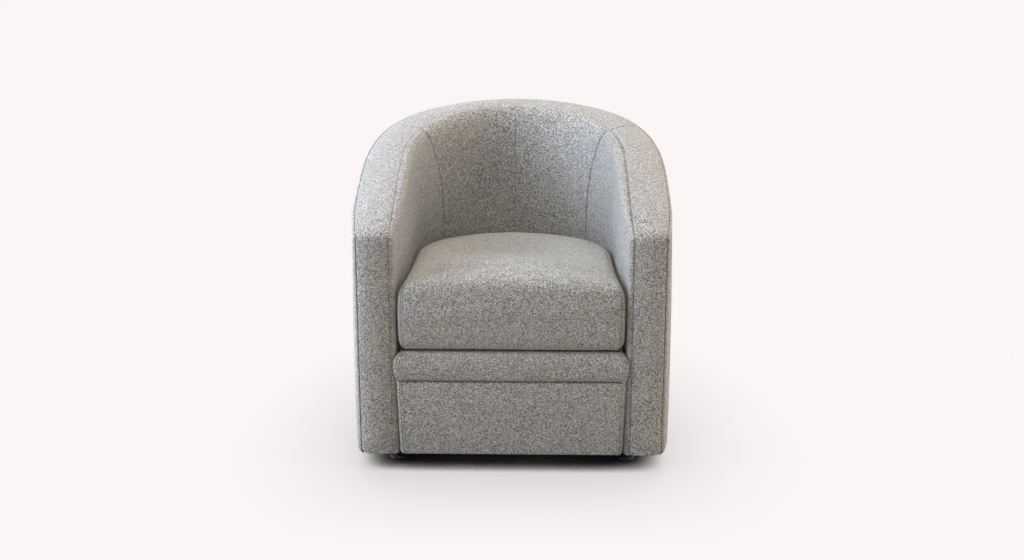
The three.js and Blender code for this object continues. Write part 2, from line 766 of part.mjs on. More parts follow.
// Deck under the cushion: the same stations as the pads round it
const deckFrontY = frontRailFrontY + wrapDepth;
const liningHeight = (deckBottomZ + deckTopZ) / 2;
const liningRuns = [...armPadColumns, ...backPadHalf].map((column) => column(liningHeight));
function liningOutline(gap, frontY) {
  const start = wallPoint(0, 0, liningHeight).y;
  const runs = liningRuns.filter((run) => run > frontY - start + padThickness);
  const half = runs.map((run) => wallPoint(run, -gap, liningHeight));
  const front = new THREE.Vector3(half[0].x, frontY, 0);
  const right = [front, ...half].map((p) => new THREE.Vector2(p.x, p.y));
  const left = right.map((p) => new THREE.Vector2(-p.x, p.y)).reverse();
  const rear = wallPoint(wallRun, -gap, liningHeight);
  return [...right, new THREE.Vector2(0, rear.y), ...left];
}
function prism(outline, z0, z1) {
  return ringsToGeometry([z0, z1].map((z) => outline.map((p) => new THREE.Vector3(p.x, p.y, z))), outline);
}
node('seat_deck', prism(liningOutline(deckEdgeGap, deckFrontY), deckBottomZ, deckTopZ), lining());

// Padded front under the cushion: a flat panel, a stitched crease,
// and a soft roll that wraps over the seat rail
const panelRearY = frontRailFrontY - softGap;
const panelBottomZ = shellBottomZ + tinyGap;
const wrapBottomZ = deckBottomZ - fuseDepth;
const panelOutlineShares = [
  [0, 0], [0.62, 0], [0.84, 0.017], [0.94, 0.062], [1, 0.37], [1.02, 0.69], [0.99, 0.925], [0.92, 0.973],
];
const rollOutlineShares = [
  [0.85, 0], [0.91, 0.075], [0.975, 0.19], [1, 0.41], [0.97, 0.66], [0.81, 0.85], [0.46, 0.966],
];
const borderSections = [
  ...panelOutlineShares.map(([out, rise]) => [
    panelRearY - out * panelThickness, THREE.MathUtils.lerp(panelBottomZ, creaseZ, rise),
  ]),
  ...rollOutlineShares.map(([out, rise]) => [
    panelRearY - out * rollThickness, THREE.MathUtils.lerp(creaseZ, deckTopZ, rise),
  ]),
  [panelRearY, deckTopZ], [panelRearY + wrapDepth / 2, deckTopZ], [panelRearY + wrapDepth, deckTopZ],
  [panelRearY + wrapDepth, wrapBottomZ], [panelRearY, wrapBottomZ],
];
const borderEndShares = [0, 0.3, 0.62, 0.86, 0.945, 0.965, 0.98, 0.993, 1];
const borderRecessShares = [0, 0, 0, 0, 0.033, 0.09, 0.22, 0.5, 1];
const creaseShares = [1, 1, 1, 1, 0.9, 0.5, 0, 0, 0];
const creaseRowShares = new Map([[7, 0.45], [8, 1], [9, 0.45]]);
function borderRing(index, side) {
  return borderSections.map(([y, z], row) => {
    const low = THREE.MathUtils.clamp((creaseZ - z) / (creaseZ - shellBottomZ), 0, 1);
    const front = y < panelRearY - tinyGap;
    const pressed = creaseDepth * (creaseRowShares.get(row) ?? 0) * creaseShares[index];
    const halfWidth = y < panelRearY + tinyGap && z < wrapBottomZ + tinyGap || front
      ? panelHalfWidth - panelNarrowing * low
      : wrapHalfWidth;
    const inward = front ? panelEndRecess * borderRecessShares[index] : 0;
    return new THREE.Vector3(side * halfWidth * borderEndShares[index], y + inward + pressed, z);
  });
}
const borderIndices = borderEndShares.map((_, i) => i);
const borderRings = [
  ...[...borderIndices].reverse().map((i) => borderRing(i, -1)),
  ...borderIndices.slice(1).map((i) => borderRing(i, 1)),
];
const borderShape = borderSections.map(([y, z]) => new THREE.Vector2(y, z));
node('front_border', ringsToGeometry(borderRings, borderShape), upholstery());

// Dust cover under the frame, open in the middle for the mechanism
const dustCoverThickness = 2.2;
const dustCoverGap = 0.4;
const dustCoverTopZ = bottomRailZ - dustCoverGap;
const dustCoverZ = dustCoverTopZ - dustCoverThickness;
const dustCoverInset = 7;
const dustHoleHalfX = 190;
const dustHoleHalfY = 180;
const dustHoleCorner = 60;
const outerRuns = [
  frameBehindFront,
  ...[...armTopRuns, ...backTopRuns.slice(0, -1)].filter((run) => run > frameBehindFront + softGap),
];
const outerHalf = outerRuns.map((run) => wallPoint(run, dustCoverInset, dustCoverZ, true));
const dustFront = [new THREE.Vector3(outerHalf[0].x, frontRailFrontY, 0), ...outerHalf];
const dustOutline = [
  ...dustFront.map((p) => new THREE.Vector2(p.x, p.y)),
  new THREE.Vector2(0, wallPoint(wallRun, dustCoverInset, dustCoverZ, true).y),
  ...dustFront.map((p) => new THREE.Vector2(-p.x, p.y)).reverse(),
];
const cornerSigns = [[1, 1], [-1, 1], [-1, -1], [1, -1]];
function roundedRectangle(halfX, halfY, corner, steps) {
  const outline = [];
  cornerSigns.forEach(([sx, sy], turn) => {
    for (let i = 0; i <= steps; i++) {
      const angle = (Math.PI / 2) * (turn + i / steps);
      const [x, y] = [Math.cos(angle), Math.sin(angle)].map((value) => corner * value);
      outline.push(new THREE.Vector2(sx * (halfX - corner) + x, sy * (halfY - corner) + y));
    }
  });
  return outline;
}
const dustHoleCornerSteps = 4;
const dustHole = roundedRectangle(dustHoleHalfX, dustHoleHalfY, dustHoleCorner, dustHoleCornerSteps);
const dustCutter = prism(dustHole, dustCoverZ - cutOverrun, dustCoverTopZ + cutOverrun);
node('dust_cover', cut(
  prism(dustOutline, dustCoverZ, dustCoverTopZ), dustCutter.translate(0, axisY, 0),
), lining());

// Loose cushion: cover with a zip slot at the rear, foam inside
const cushionFrontCorner = 20;
const cushionBulge = 3;
const coverCloth = 3;
const foamClearance = 0.6;
const cushionCentreY = -100;
const cushionStationRun = 60;
const cushionCornerRun = 24;
const cushionCornerShares = [0, 0.2, 0.45, 0.7, 1];
const cushionFrontShares = [0.25, 0.5, 0.75];
function cushionOutline() {
  const along = liningRuns.filter((run, i) => run > cushionStationRun && i % 2 === 0);
  const runs = [cushionCornerRun, padTaperStartRun, ...along];
  const half = runs.map((run) => wallPoint(run, -cushionSideGap, liningHeight));
  const cornerX = half[0].x - cushionFrontCorner;
  const frontY = cushionFrontY + cushionBulge;
  const cornerY = frontY + cushionFrontCorner;
  const corner = cushionCornerShares.map((share) => {
    const angle = (Math.PI / 2) * (share - 1);
    const [x, y] = [Math.cos(angle), Math.sin(angle)].map((value) => cushionFrontCorner * value);
    return new THREE.Vector2(cornerX + x, cornerY + y);
  });
  const front = cushionFrontShares.map((share) => new THREE.Vector2(cornerX * share, frontY));
  const right = [...front, ...corner, ...half.map((p) => new THREE.Vector2(p.x, p.y))];
  const rear = wallPoint(wallRun, -cushionSideGap, liningHeight);
  return [
    new THREE.Vector2(0, frontY), ...right, new THREE.Vector2(0, rear.y),
    ...right.map((p) => new THREE.Vector2(-p.x, p.y)).reverse(),
  ];
}
const cushionPlan = cushionOutline();
const cushionEdgeInset = 20;
// Rows from the bottom up: share of the edge inset, share of the way to the middle, share of the height
const cushionProfileShares = [
  [0.6, 0, 0], [0.12, 0, 0.047], [0, 0, 0.19], [0, 0, 0.7], [0.15, 0, 0.826], [0.9, 0, 0.919],
  [1, 0.2, 0.971], [1, 0.5, 0.994], [1, 0.8, 1],
];
const rearFall = 6;
const rearFallPower = 1.5;
const frontFaceShare = 0.9;
function cushionRings(shrink) {
  const height = cushionCrownZ - cushionBottomZ;
  return cushionProfileShares.map(([insetShare, toMiddle, rise]) => {
    const inset = insetShare * cushionEdgeInset;
    const z = cushionBottomZ + rise * height;
    return cushionPlan.map((p, i) => {
      const before = cushionPlan[(i + cushionPlan.length - 1) % cushionPlan.length];
      const after = cushionPlan[(i + 1) % cushionPlan.length];
      const normal = new THREE.Vector2(after.y - before.y, before.x - after.x).normalize();
      const q = p.clone().addScaledVector(normal, -inset - shrink);
      q.lerp(new THREE.Vector2(0, cushionCentreY), toMiddle);
      const swell = Math.sin(Math.PI * rise);
      const ahead = THREE.MathUtils.clamp((cushionCentreY - q.y) / (cushionCentreY - cushionFrontY), 0, 1);
      if (ahead > frontFaceShare) q.y -= cushionBulge * swell;
      const behind = THREE.MathUtils.clamp((q.y - cushionCentreY) / (seatBackY - cushionCentreY), 0, 1);
      const fall = rearFall * rise * behind ** rearFallPower;
      return new THREE.Vector3(q.x, q.y, z - fall + THREE.MathUtils.lerp(shrink, -shrink, rise));
    });
  });
}
const zipAboveDeck = 35;
const zipZ = deckTopZ + zipAboveDeck;
const zipHalfHeight = 6;
const zipHalfRun = 190;
const zipThickness = 2;
function zipStrip(margin, near, far) {
  const inside = liningRuns.filter((run) => run > wallRun - zipHalfRun);
  const half = [wallRun - zipHalfRun + margin, ...inside.filter((run) => run < wallRun - tinyGap)];
  const runs = [...half, wallRun, ...[...half].reverse().map((run) => 2 * wallRun - run)];
  return wallPrism(runs, [near, far], [zipZ - zipHalfHeight + margin, zipZ + zipHalfHeight - margin], false);
}
const cushionOuter = ringsToGeometry(cushionRings(0), cushionPlan);
const cushionInner = ringsToGeometry(cushionRings(coverCloth), cushionPlan);
node('cushion_cover', cut(
  cushionOuter, cushionInner, zipStrip(0, -cushionSideGap + cutOverrun, -cushionSideGap - cutOverrun),
), upholstery());
node('cushion_foam', ringsToGeometry(cushionRings(coverCloth + foamClearance), cushionPlan), foam());
const zipFace = -cushionSideGap - tinyGap;
node('cushion_zip', zipStrip(tinyGap, zipFace, zipFace - zipThickness), lining());

// Swivel base: four pressed steel legs under a hub plate, each on a round floor glide
const legInnerR = 32;
const legWidth = 38;
const legWall = 3;
const legTipReach = 20;
const legThickness = 7.7;
const legFlatEndR = 105;
const legKneeR = 150;
const legKneeDrop = 2;
const glideR = Math.hypot(glideX, axisY - glideFrontY);
const legFootFlat = 42;
const legAnkleRun = 30;
const legFootR = glideR - legFootFlat;
const legAnkleR = legFootR - legAnkleRun;
const legAnkleRise = 4;
const legUndersideZ = hubPlateZ - tinyGap - legThickness;
const footUndersideZ = glideHeight + tinyGap;
const legHeights = [
  [legInnerR, legUndersideZ], [legFlatEndR, legUndersideZ], [legKneeR, legUndersideZ - legKneeDrop],
  [legAnkleR, footUndersideZ + legAnkleRise], [legFootR, footUndersideZ],
];
const glideAngle = Math.atan2(axisY - glideFrontY, glideX);
function legBar(halfWidth, drop, innerR, outerR) {
  const lower = legHeights.map(([r, z], i) => [i === 0 ? innerR : r, z - drop]);
  lower.push([outerR, legHeights.at(-1)[1] - drop]);
  const upper = lower.map(([r, z]) => [r, z + legThickness]).reverse();
  const outline = [...lower, ...upper].map(([r, z]) => new THREE.Vector2(r, z));
  const rings = [-halfWidth, halfWidth].map((y) => outline.map((p) => new THREE.Vector3(p.x, y, p.y)));
  return ringsToGeometry(rings, outline);
}
const legBlank = legBar(legWidth / 2, 0, legInnerR, glideR + legTipReach);
const legHollow = legBar(legWidth / 2 - legWall, legWall, legInnerR - cutOverrun, glideR - glideRadius);
const legSolid = cut(legBlank, legHollow);
const glideTopRadius = 22;
const glideChamfer = 2;
function glideShape() {
  return new THREE.LatheGeometry([
    [0, 0], [glideRadius - glideChamfer, 0], [glideRadius, glideChamfer],
    [glideTopRadius, glideHeight], [0, glideHeight],
  ].map(([r, z]) => new THREE.Vector2(r, z)), 16).rotateX(Math.PI / 2);
}
const legPlaces = [
  ['front_right', -glideAngle], ['front_left', Math.PI + glideAngle],
  ['back_right', glideAngle], ['back_left', Math.PI - glideAngle],
];
for (const [place, angle] of legPlaces) {
  mechanismNode(`leg_${place}`, legSolid.clone().rotateZ(angle), blackSteel());
  const glide = glideShape().translate(glideR * Math.cos(angle), glideR * Math.sin(angle), 0);
  mechanismNode(`glide_${place}`, glide, rubberBlack());
}

// Hub: plate on the legs with the lower ball race, ball ring, and the kingpin through the middle
const hubRadius = 100;
const kingpinRadius = 10;
const kingpinHoleRadius = 10.5;
const raceCentreRadius = 55;
const ballRadius = 4;
const ballCentreZ = 50.6;
const raceInnerRadius = 45;
const raceOuterRadius = 65;
const raceTopZ = 48.8;
const grooveClearance = 0.8;
const grooveRadius = ballRadius + grooveClearance;
const upperRaceZ = 52.4;
const hubTopZ = hubPlateZ + hubPlateThickness;
function ring(innerRadius, outerRadius, z0, z1, sides) {
  return new THREE.LatheGeometry([
    [innerRadius, z0], [outerRadius, z0], [outerRadius, z1], [innerRadius, z1], [innerRadius, z0],
  ].map(([r, z]) => new THREE.Vector2(r, z)), sides).rotateX(Math.PI / 2);
}
function grooveRing(sides) {
  const steps = 6;
  const profile = Array.from({ length: steps + 1 }, (_, i) => {
    const angle = (2 * Math.PI * i) / steps;
    const [out, up] = [Math.cos(angle), Math.sin(angle)].map((value) => grooveRadius * value);
    return new THREE.Vector2(raceCentreRadius + out, ballCentreZ + up);
  });
  return new THREE.LatheGeometry(profile, sides).rotateX(Math.PI / 2);
}
const raceSides = 24;
const legBoltRadius = 5;
const legBoltHeight = 3.5;
const legBoltInnerR = 76;
const legBoltOuterR = 92;
const legBoltRs = [legBoltInnerR, legBoltOuterR];
const legBolts = legPlaces.flatMap(([, angle]) => legBoltRs.map((r) => uprightCylinder(
  legBoltRadius, hubTopZ - tinyGap, hubTopZ + legBoltHeight, 6,
).translate(r * Math.cos(angle), r * Math.sin(angle), 0)));
mechanismNode('hub_plate', cut(
  joined(
    uprightCylinder(hubRadius, hubPlateZ, hubTopZ, raceSides),
    ring(raceInnerRadius, raceOuterRadius, hubTopZ - fuseDepth, raceTopZ, raceSides), ...legBolts,
  ),
  uprightCylinder(kingpinHoleRadius, hubPlateZ - cutOverrun, raceTopZ + cutOverrun, 16),
  grooveRing(raceSides),
), blackSteel());

const ballCount = 8;
const cageInner = 51;
const cageOuter = 59;
const cageHalfHeight = 1.2;
const balls = Array.from({ length: ballCount }, (_, i) => {
  const angle = (2 * Math.PI * i) / ballCount;
  return new THREE.SphereGeometry(ballRadius, 7, 5).translate(
    raceCentreRadius * Math.cos(angle), raceCentreRadius * Math.sin(angle), ballCentreZ,
  );
});
mechanismNode('ball_ring', joined(
  ring(cageInner, cageOuter, ballCentreZ - cageHalfHeight, ballCentreZ + cageHalfHeight, 16), ...balls,
), zincSteel());

const kingpinHeadRadius = 17;
const kingpinHeadZ = 31;
const kingpinTopZ = 78;
mechanismNode('kingpin', joined(
  uprightCylinder(kingpinHeadRadius, kingpinHeadZ, hubPlateZ - tinyGap, 6),
  uprightCylinder(kingpinRadius, kingpinHeadZ + fuseDepth, kingpinTopZ, 16),
), zincSteel());

// Rocker yoke: swivel plate with the upper race, two upright ears for the pivot shaft,
// and seats for springs and stops
const yokeHalfX = 124;
const yokeHalfY = 118;
const yokeCorner = 22;
const yokeThickness = 5;
const yokeTopZ = yokeBaseZ + yokeThickness;
const swivelPlateRadius = 80;
const earX = 62;
const earThickness = 6;
const earFootHalf = 32;
const earRadius = 14;
const shaftRadius = 7;
const shaftHoleRadius = 7.3;
const springX = 102;
const springY = 62;
const pegRadius = 9.5;
const pegHeight = 6;
const pegTipRadius = 7.5;
const stopX = 102;
const stopY = 100;
const earTopStart = 0.12;

function plateAcross(outline, x0, x1) {
  return ringsToGeometry([x0, x1].map((x) => outline.map((p) => new THREE.Vector3(x, p.x, p.y))), outline);
}
function earOutline() {
  const outline = [-earFootHalf, earFootHalf].map((y) => new THREE.Vector2(y, yokeTopZ - fuseDepth));
  const steps = 8;
  for (let i = 0; i <= steps; i++) {
    const angle = THREE.MathUtils.lerp(earTopStart, 1 - earTopStart, i / steps) * Math.PI;
    outline.push(new THREE.Vector2(earRadius * Math.cos(angle), pivotZ + earRadius * Math.sin(angle)));
  }
  return outline;
}
const ears = [-earX - earThickness, earX].map((x) => plateAcross(earOutline(), x, x + earThickness));
const springPegs = cornerSigns.map(([sx, sy]) => uprightCylinder(
  pegRadius, yokeTopZ - fuseDepth, yokeTopZ + pegHeight, 12, pegTipRadius,
).translate(sx * springX, sy * springY, 0));
mechanismNode('rocker_yoke', cut(
  joined(
    prism(roundedRectangle(yokeHalfX, yokeHalfY, yokeCorner, 3), yokeBaseZ, yokeTopZ),
    uprightCylinder(swivelPlateRadius, upperRaceZ, yokeBaseZ + fuseDepth, raceSides), ...ears, ...springPegs,
  ),
  uprightCylinder(kingpinHoleRadius, upperRaceZ - cutOverrun, yokeTopZ + cutOverrun, 16),
  grooveRing(raceSides),
  crosswiseCylinder(shaftHoleRadius, -earX - earThickness - cutOverrun, earX + earThickness + cutOverrun, 16),
), blackSteel());

const nutRadius = 16;
const nutHeight = 11;
mechanismNode('kingpin_nut', cut(
  uprightCylinder(nutRadius, yokeTopZ + tinyGap, yokeTopZ + nutHeight, 6),
  uprightCylinder(kingpinRadius + tinyGap, yokeTopZ - cutOverrun, yokeTopZ + nutHeight + cutOverrun, 16),
), zincSteel());

const webX = 78;
const webThickness = 6;
const shaftEndX = 96;
const shaftHeadX = 89.5;
const shaftHeadRadius = 11;
mechanismNode('pivot_shaft', joined(
  crosswiseCylinder(shaftRadius, fuseDepth - shaftEndX, shaftEndX - fuseDepth, 16),
  crosswiseCylinder(shaftHeadRadius, shaftHeadX, shaftEndX, 16),
  crosswiseCylinder(shaftHeadRadius, -shaftEndX, -shaftHeadX, 16),
), zincSteel());

// Rocker brackets: angle plates bolted under the mounting rails, hung on the shaft by flanged bushes
const flangeOuterX = 122;
const flangeHalfY = 116;
const webEndZ = 101;
const webFootHalf = 22;
const webFootZ = 73;
const bushHoleRadius = 10;
const railBoltX = 111;
const railBoltY = 84;
const railBoltRadius = 4.5;
const railBoltHeight = 4;
const webOutline = [
  [-flangeHalfY, bottomRailTopZ], [-flangeHalfY, webEndZ], [-webFootHalf, webFootZ], [webFootHalf, webFootZ],
  [flangeHalfY, webEndZ], [flangeHalfY, bottomRailTopZ],
].map(([y, z]) => new THREE.Vector2(y, z));
const bracketBolts = [-1, 1].map((side) => uprightCylinder(
  railBoltRadius, flangeZ - railBoltHeight, flangeZ + fuseDepth, 8,
).translate(railBoltX, side * railBoltY, 0));
const bracketPegs = [-1, 1].map((side) => uprightCylinder(
  pegTipRadius, flangeZ - pegHeight, flangeZ + fuseDepth, 12, pegRadius,
).translate(springX, side * springY, 0));
const bracket = cut(
  joined(
    plateAcross(webOutline, webX, webX + webThickness),
    boxBetween(webX + fuseDepth, flangeOuterX, -flangeHalfY, flangeHalfY, flangeZ, bottomRailTopZ),
    ...bracketBolts, ...bracketPegs,
  ),
  crosswiseCylinder(bushHoleRadius, webX - cutOverrun, webX + webThickness + cutOverrun, 16),
);
pair('rocker_bracket', bracket.translate(0, axisY, 0), zincSteel);

const bushFlangeRadius = 13;
const bushInnerX = earX + earThickness + tinyGap;
const bushShoulderX = webX - tinyGap;
const bushOuterX = webX + webThickness + fuseDepth;
const bushProfile = [
  [shaftRadius + tinyGap, bushInnerX], [bushFlangeRadius, bushInnerX], [bushFlangeRadius, bushShoulderX],
  [bushHoleRadius - tinyGap, bushShoulderX], [bushHoleRadius - tinyGap, bushOuterX],
  [shaftRadius + tinyGap, bushOuterX], [shaftRadius + tinyGap, bushInnerX],
].map(([r, x]) => new THREE.Vector2(r, x));
const bush = new THREE.LatheGeometry(bushProfile, 12).rotateZ(-Math.PI / 2).translate(0, 0, pivotZ);
pair('pivot_bush', bush.translate(0, axisY, 0), () => material(0xe8e6df, 0.5));

// Coil springs that hold the chair level, and the rubber stops that end the rock
const coilRadius = 14.2;
const coilWireRadius = 2.2;
const coilTurns = 5;
const coilStepsPerTurn = 8;
const coilEndTurns = 0.8;
const coilEndRise = 4.9;
const coilLowZ = yokeTopZ + tinyGap + coilWireRadius;
const coilHighZ = flangeZ - tinyGap - coilWireRadius;
function coilPoints() {
  const steps = coilTurns * coilStepsPerTurn;
  return Array.from({ length: steps + 1 }, (_, i) => {
    const turns = i / coilStepsPerTurn;
    const fromEnd = Math.min(turns, coilTurns - turns);
    const active = (coilHighZ - coilLowZ - 2 * coilEndRise) / (coilTurns - 2 * coilEndTurns);
    const rise = fromEnd < coilEndTurns
      ? coilEndRise * (fromEnd / coilEndTurns)
      : coilEndRise + (fromEnd - coilEndTurns) * active;
    const z = turns < coilTurns / 2 ? coilLowZ + rise : coilHighZ - rise;
    const angle = 2 * Math.PI * turns;
    return [coilRadius * Math.cos(angle), coilRadius * Math.sin(angle), z];
  });
}
const coil = wireAlong(coilPoints(), coilWireRadius, 5);
const coilGap = leastTurnGap(coilPoints(), coilWireRadius, coilStepsPerTurn);
console.log(`coil spring, least gap between turns: ${coilGap.toFixed(2)} mm`);
const stopRadius = 11;
const stopTopRadius = 8.5;
const stopTopZ = 100.4;
const stopShape = uprightCylinder(stopRadius, yokeTopZ + tinyGap, stopTopZ, 12, stopTopRadius);
const cornerNames = ['back_right', 'back_left', 'front_left', 'front_right'];
cornerSigns.forEach(([sx, sy], i) => {
  const spring = coil.clone().translate(sx * springX, sy * springY, 0);
  const stop = stopShape.clone().translate(sx * stopX, sy * stopY, 0);
  mechanismNode(`coil_spring_${cornerNames[i]}`, spring, zincSteel());
  mechanismNode(`bump_stop_${cornerNames[i]}`, stop, rubberBlack());
});

meshes.name = 'swivel_rocker';
export default meshes;
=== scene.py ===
"""Swivel rocker in heathered grey tweed: looks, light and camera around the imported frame.

Sizes in the shape functions are millimetres, as in the part's source; meshes are written in metres.
"""
import math

import bmesh
import bpy
import numpy as np
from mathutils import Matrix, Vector, noise
from mathutils.bvhtree import BVHTree


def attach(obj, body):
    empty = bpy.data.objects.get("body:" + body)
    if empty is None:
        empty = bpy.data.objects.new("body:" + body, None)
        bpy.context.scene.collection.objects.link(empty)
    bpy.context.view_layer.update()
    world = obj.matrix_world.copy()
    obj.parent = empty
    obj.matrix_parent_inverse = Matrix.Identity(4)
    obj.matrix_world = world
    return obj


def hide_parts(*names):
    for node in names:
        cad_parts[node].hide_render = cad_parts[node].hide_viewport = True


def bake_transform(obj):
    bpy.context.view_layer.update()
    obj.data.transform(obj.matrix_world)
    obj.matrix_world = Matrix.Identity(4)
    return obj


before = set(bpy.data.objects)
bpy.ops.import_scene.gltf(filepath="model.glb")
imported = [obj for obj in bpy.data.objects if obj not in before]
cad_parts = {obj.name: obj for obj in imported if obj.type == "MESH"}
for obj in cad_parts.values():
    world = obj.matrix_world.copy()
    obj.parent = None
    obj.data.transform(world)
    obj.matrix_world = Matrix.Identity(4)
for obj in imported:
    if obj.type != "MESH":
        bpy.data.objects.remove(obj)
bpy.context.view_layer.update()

MM = 0.001


def smooth_step(low, high, value):
    t = np.clip((value - low) / (high - low), 0, 1)
    return t * t * (3 - 2 * t)


def spaced(start, end, step):
    return np.linspace(start, end, max(int(round(abs(end - start) / step)), 1) + 1)


def merged(*values):
    """All the values in order, each once."""
    return np.unique(np.concatenate(values))


def stacked(*values):
    """Points from their coordinates."""
    return np.stack(np.broadcast_arrays(*values), -1)


def unit(vectors):
    return vectors / np.maximum(np.linalg.norm(vectors, axis=-1, keepdims=True), 1e-9)


def lengths_along(points):
    """Length of a polyline up to each of its points."""
    return np.append(0, np.cumsum(np.linalg.norm(np.diff(points, axis=0), axis=1)))


def lengths_up(grid):
    """Length up each column of a grid of points."""
    return np.cumsum(np.linalg.norm(np.diff(grid, axis=1, prepend=grid[:, :1]), axis=2), axis=1)


def read_line(where, lengths, points):
    """Points of a flat polyline at lengths along it."""
    return stacked(*(np.interp(where, lengths, points[:, k]) for k in (0, 1)))


def whole(half):
    """A plan's outline from its right half; both ends of the half lie on the middle line."""
    return np.vstack([half, (half * [-1, 1])[1:-1][::-1]])


# ---- the wall of the chair, in the part's own sizes

FRONT_Y = -384
BACK_TOP_Z = 788
SHELL_BOTTOM_Z = 50
FRONT_HALF = 277                # half the opening between the arms, at the front
PAD_T = 22                      # inside pads, at the back and at the arm fronts
PAD_FRONT_T = 11
PAD_EDGE_T = 0.9                # cloth alone, where it is turned in at a seam
COVER_T = 6
COVER_EDGE_T = 0.8
BAND_T = 20
SOFT_GAP = 0.6                  # between two sewn pieces
SEWN_IN = 0.3                   # how far a piece stops short of its edge
DECK_TOP_Z = 311
PAD_BOTTOM_Z = 301
SEAM_SHARE = 0.608              # shares of the half run at which the panels' seams lie, at the top and foot
PANEL_SEAM_SHARE = 0.71
PANEL_SEAM_FOOT_Z = 462
PANEL_SEAM_HEAD_Z = 757
FOOT_RADIUS = 15                # bottom edge of the shell
FOOT_TUCK = 8
LEAN_FROM_Z = 440.3             # the inside leans back above this height
BELLY = 5                       # the outside swells this much half way up
BELLY_RUN = 80                  # and less within this run of the arm fronts
OUTSIDE_LAG = 0.047             # the outside runs this much slower round the rear corners
LAG_START = 0.2


def plan_curve(half_width, front_half_width, widest_y, end_y, fullness, front_power):
    """A plan curve from the arm front to the middle of the back, read by share of its length."""
    front_y = np.linspace(FRONT_Y, widest_y, 40, endpoint=False)
    share = (widest_y - front_y) / (widest_y - FRONT_Y)
    front_x = half_width - (half_width - front_half_width) * share ** front_power
    angle = np.linspace(0, math.pi / 2, 261)
    x = half_width * np.clip(np.cos(angle), 0, None) ** (2 / fullness)
    x[-1] = 0
    y = widest_y + (end_y - widest_y) * np.sin(angle) ** (2 / fullness)
    points = np.column_stack([np.append(front_x, x), np.append(front_y, y)])
    lengths = lengths_along(points)
    total = lengths[-1]

    def at(share):
        found = read_line(np.clip(share, 0, 1) * total, lengths, points)
        found[..., 1] += np.minimum(share, 0) * total
        return found
    return at, total


# Inside and outside, each at its foot and at the back's top
inside_low, _ = plan_curve(257, FRONT_HALF, -60, 195, 2, 2)
inside_top, inside_run = plan_curve(260, FRONT_HALF, -60, 285, 1.94, 2)
outside_low, _ = plan_curve(389, 371, -141, 384, 2.5, 4)
outside_top, outside_run = plan_curve(377, 371, -141, 391, 2.3, 4)
RUN = (inside_run + outside_run) / 2


def fold(run):
    """The run of the same place on the right-hand half."""
    return np.where(run > RUN, 2 * RUN - run, run)


def wall(run, depth, z, from_outside=False):
    """Points of the wall: run goes round it from arm front to arm front, depth goes into it."""
    run, depth, z = np.broadcast_arrays(*(np.asarray(value, float) for value in (run, depth, z)))
    beyond = run > RUN
    share = fold(run) / RUN
    lag_share = np.clip((share - LAG_START) / (1 - LAG_START), 0, 1)
    outside_share = share - OUTSIDE_LAG * np.sin(math.pi * lag_share) ** 2
    lean = np.clip((z - LEAN_FROM_Z) / (BACK_TOP_Z - LEAN_FROM_Z), 0, 1)[..., None]
    height = np.clip((z - SHELL_BOTTOM_Z) / (BACK_TOP_Z - SHELL_BOTTOM_Z), 0, 1)[..., None]
    inside = inside_low(share) * (1 - lean) + inside_top(share) * lean
    outside = outside_low(outside_share) * (1 - height) + outside_top(outside_share) * height
    across = unit(outside - inside)
    grown = np.clip(share * RUN / BELLY_RUN, 0, 1)[..., None]
    foot = np.clip((SHELL_BOTTOM_Z + FOOT_RADIUS - z) / FOOT_RADIUS, 0, 1)[..., None]
    belly = 4 * BELLY * height * (1 - height) * grown
    outside = outside + across * (belly - FOOT_TUCK * (1 - np.sqrt(1 - foot ** 2)))
    base = outside - across * depth[..., None] if from_outside else inside + across * depth[..., None]
    return stacked(np.where(beyond, -base[..., 0], base[..., 0]), base[..., 1], z)


def thickness(run, z):
    return np.linalg.norm(wall(run, 0, z) - wall(run, 0, z, True), axis=-1)


def pad_depth(run):
    """The inside pads thin out over this run towards the arm fronts."""
    thin_run, full_run = 50, 250
    return PAD_FRONT_T + (PAD_T - PAD_FRONT_T) * np.clip((fold(run) - thin_run) / (full_run - thin_run), 0, 1)


def bezier(points, t):
    while len(points) > 1:
        points = [np.multiply(a, 1 - t) + np.multiply(b, t) for a, b in zip(points, points[1:])]
    return points[0]


FRONT_TOP_Z = 584               # the arm front is straight up to here
BEND = [(0, FRONT_TOP_Z), (0, 602.5), (18, 608.9)]
SLOPE = [(42, 618), (0.1437 * RUN, 675.97), (0.6378 * RUN, BACK_TOP_Z), (RUN, BACK_TOP_Z)]
FRONT_STEPS, BEND_STEPS, SLOPE_STEPS = 200, 120, 600

# The wall's edge as (run, z): up the arm front, over the bend, along the arm to the middle of the back
EDGE = np.vstack([
    stacked(0.0, np.linspace(SHELL_BOTTOM_Z, FRONT_TOP_Z, FRONT_STEPS, endpoint=False)),
    bezier(BEND, np.linspace(0, 1, BEND_STEPS, endpoint=False)[:, None]),
    bezier(SLOPE, np.linspace(0, 1, SLOPE_STEPS)[:, None])])
EDGE_LENGTHS = lengths_along(EDGE)
EDGE_TOTAL = EDGE_LENGTHS[-1]
BEND_LOW, BEND_HIGH = EDGE_LENGTHS[FRONT_STEPS], EDGE_LENGTHS[FRONT_STEPS + BEND_STEPS]


def edge_at(length):
    """Point and unit tangent of the edge at a length along it."""
    point, after, before = (read_line(length + step, EDGE_LENGTHS, EDGE) for step in (0, 2, -2))
    return point, unit(after - before)


def edge_height(run):
    return np.interp(fold(run), EDGE[FRONT_STEPS:, 0], EDGE[FRONT_STEPS:, 1])


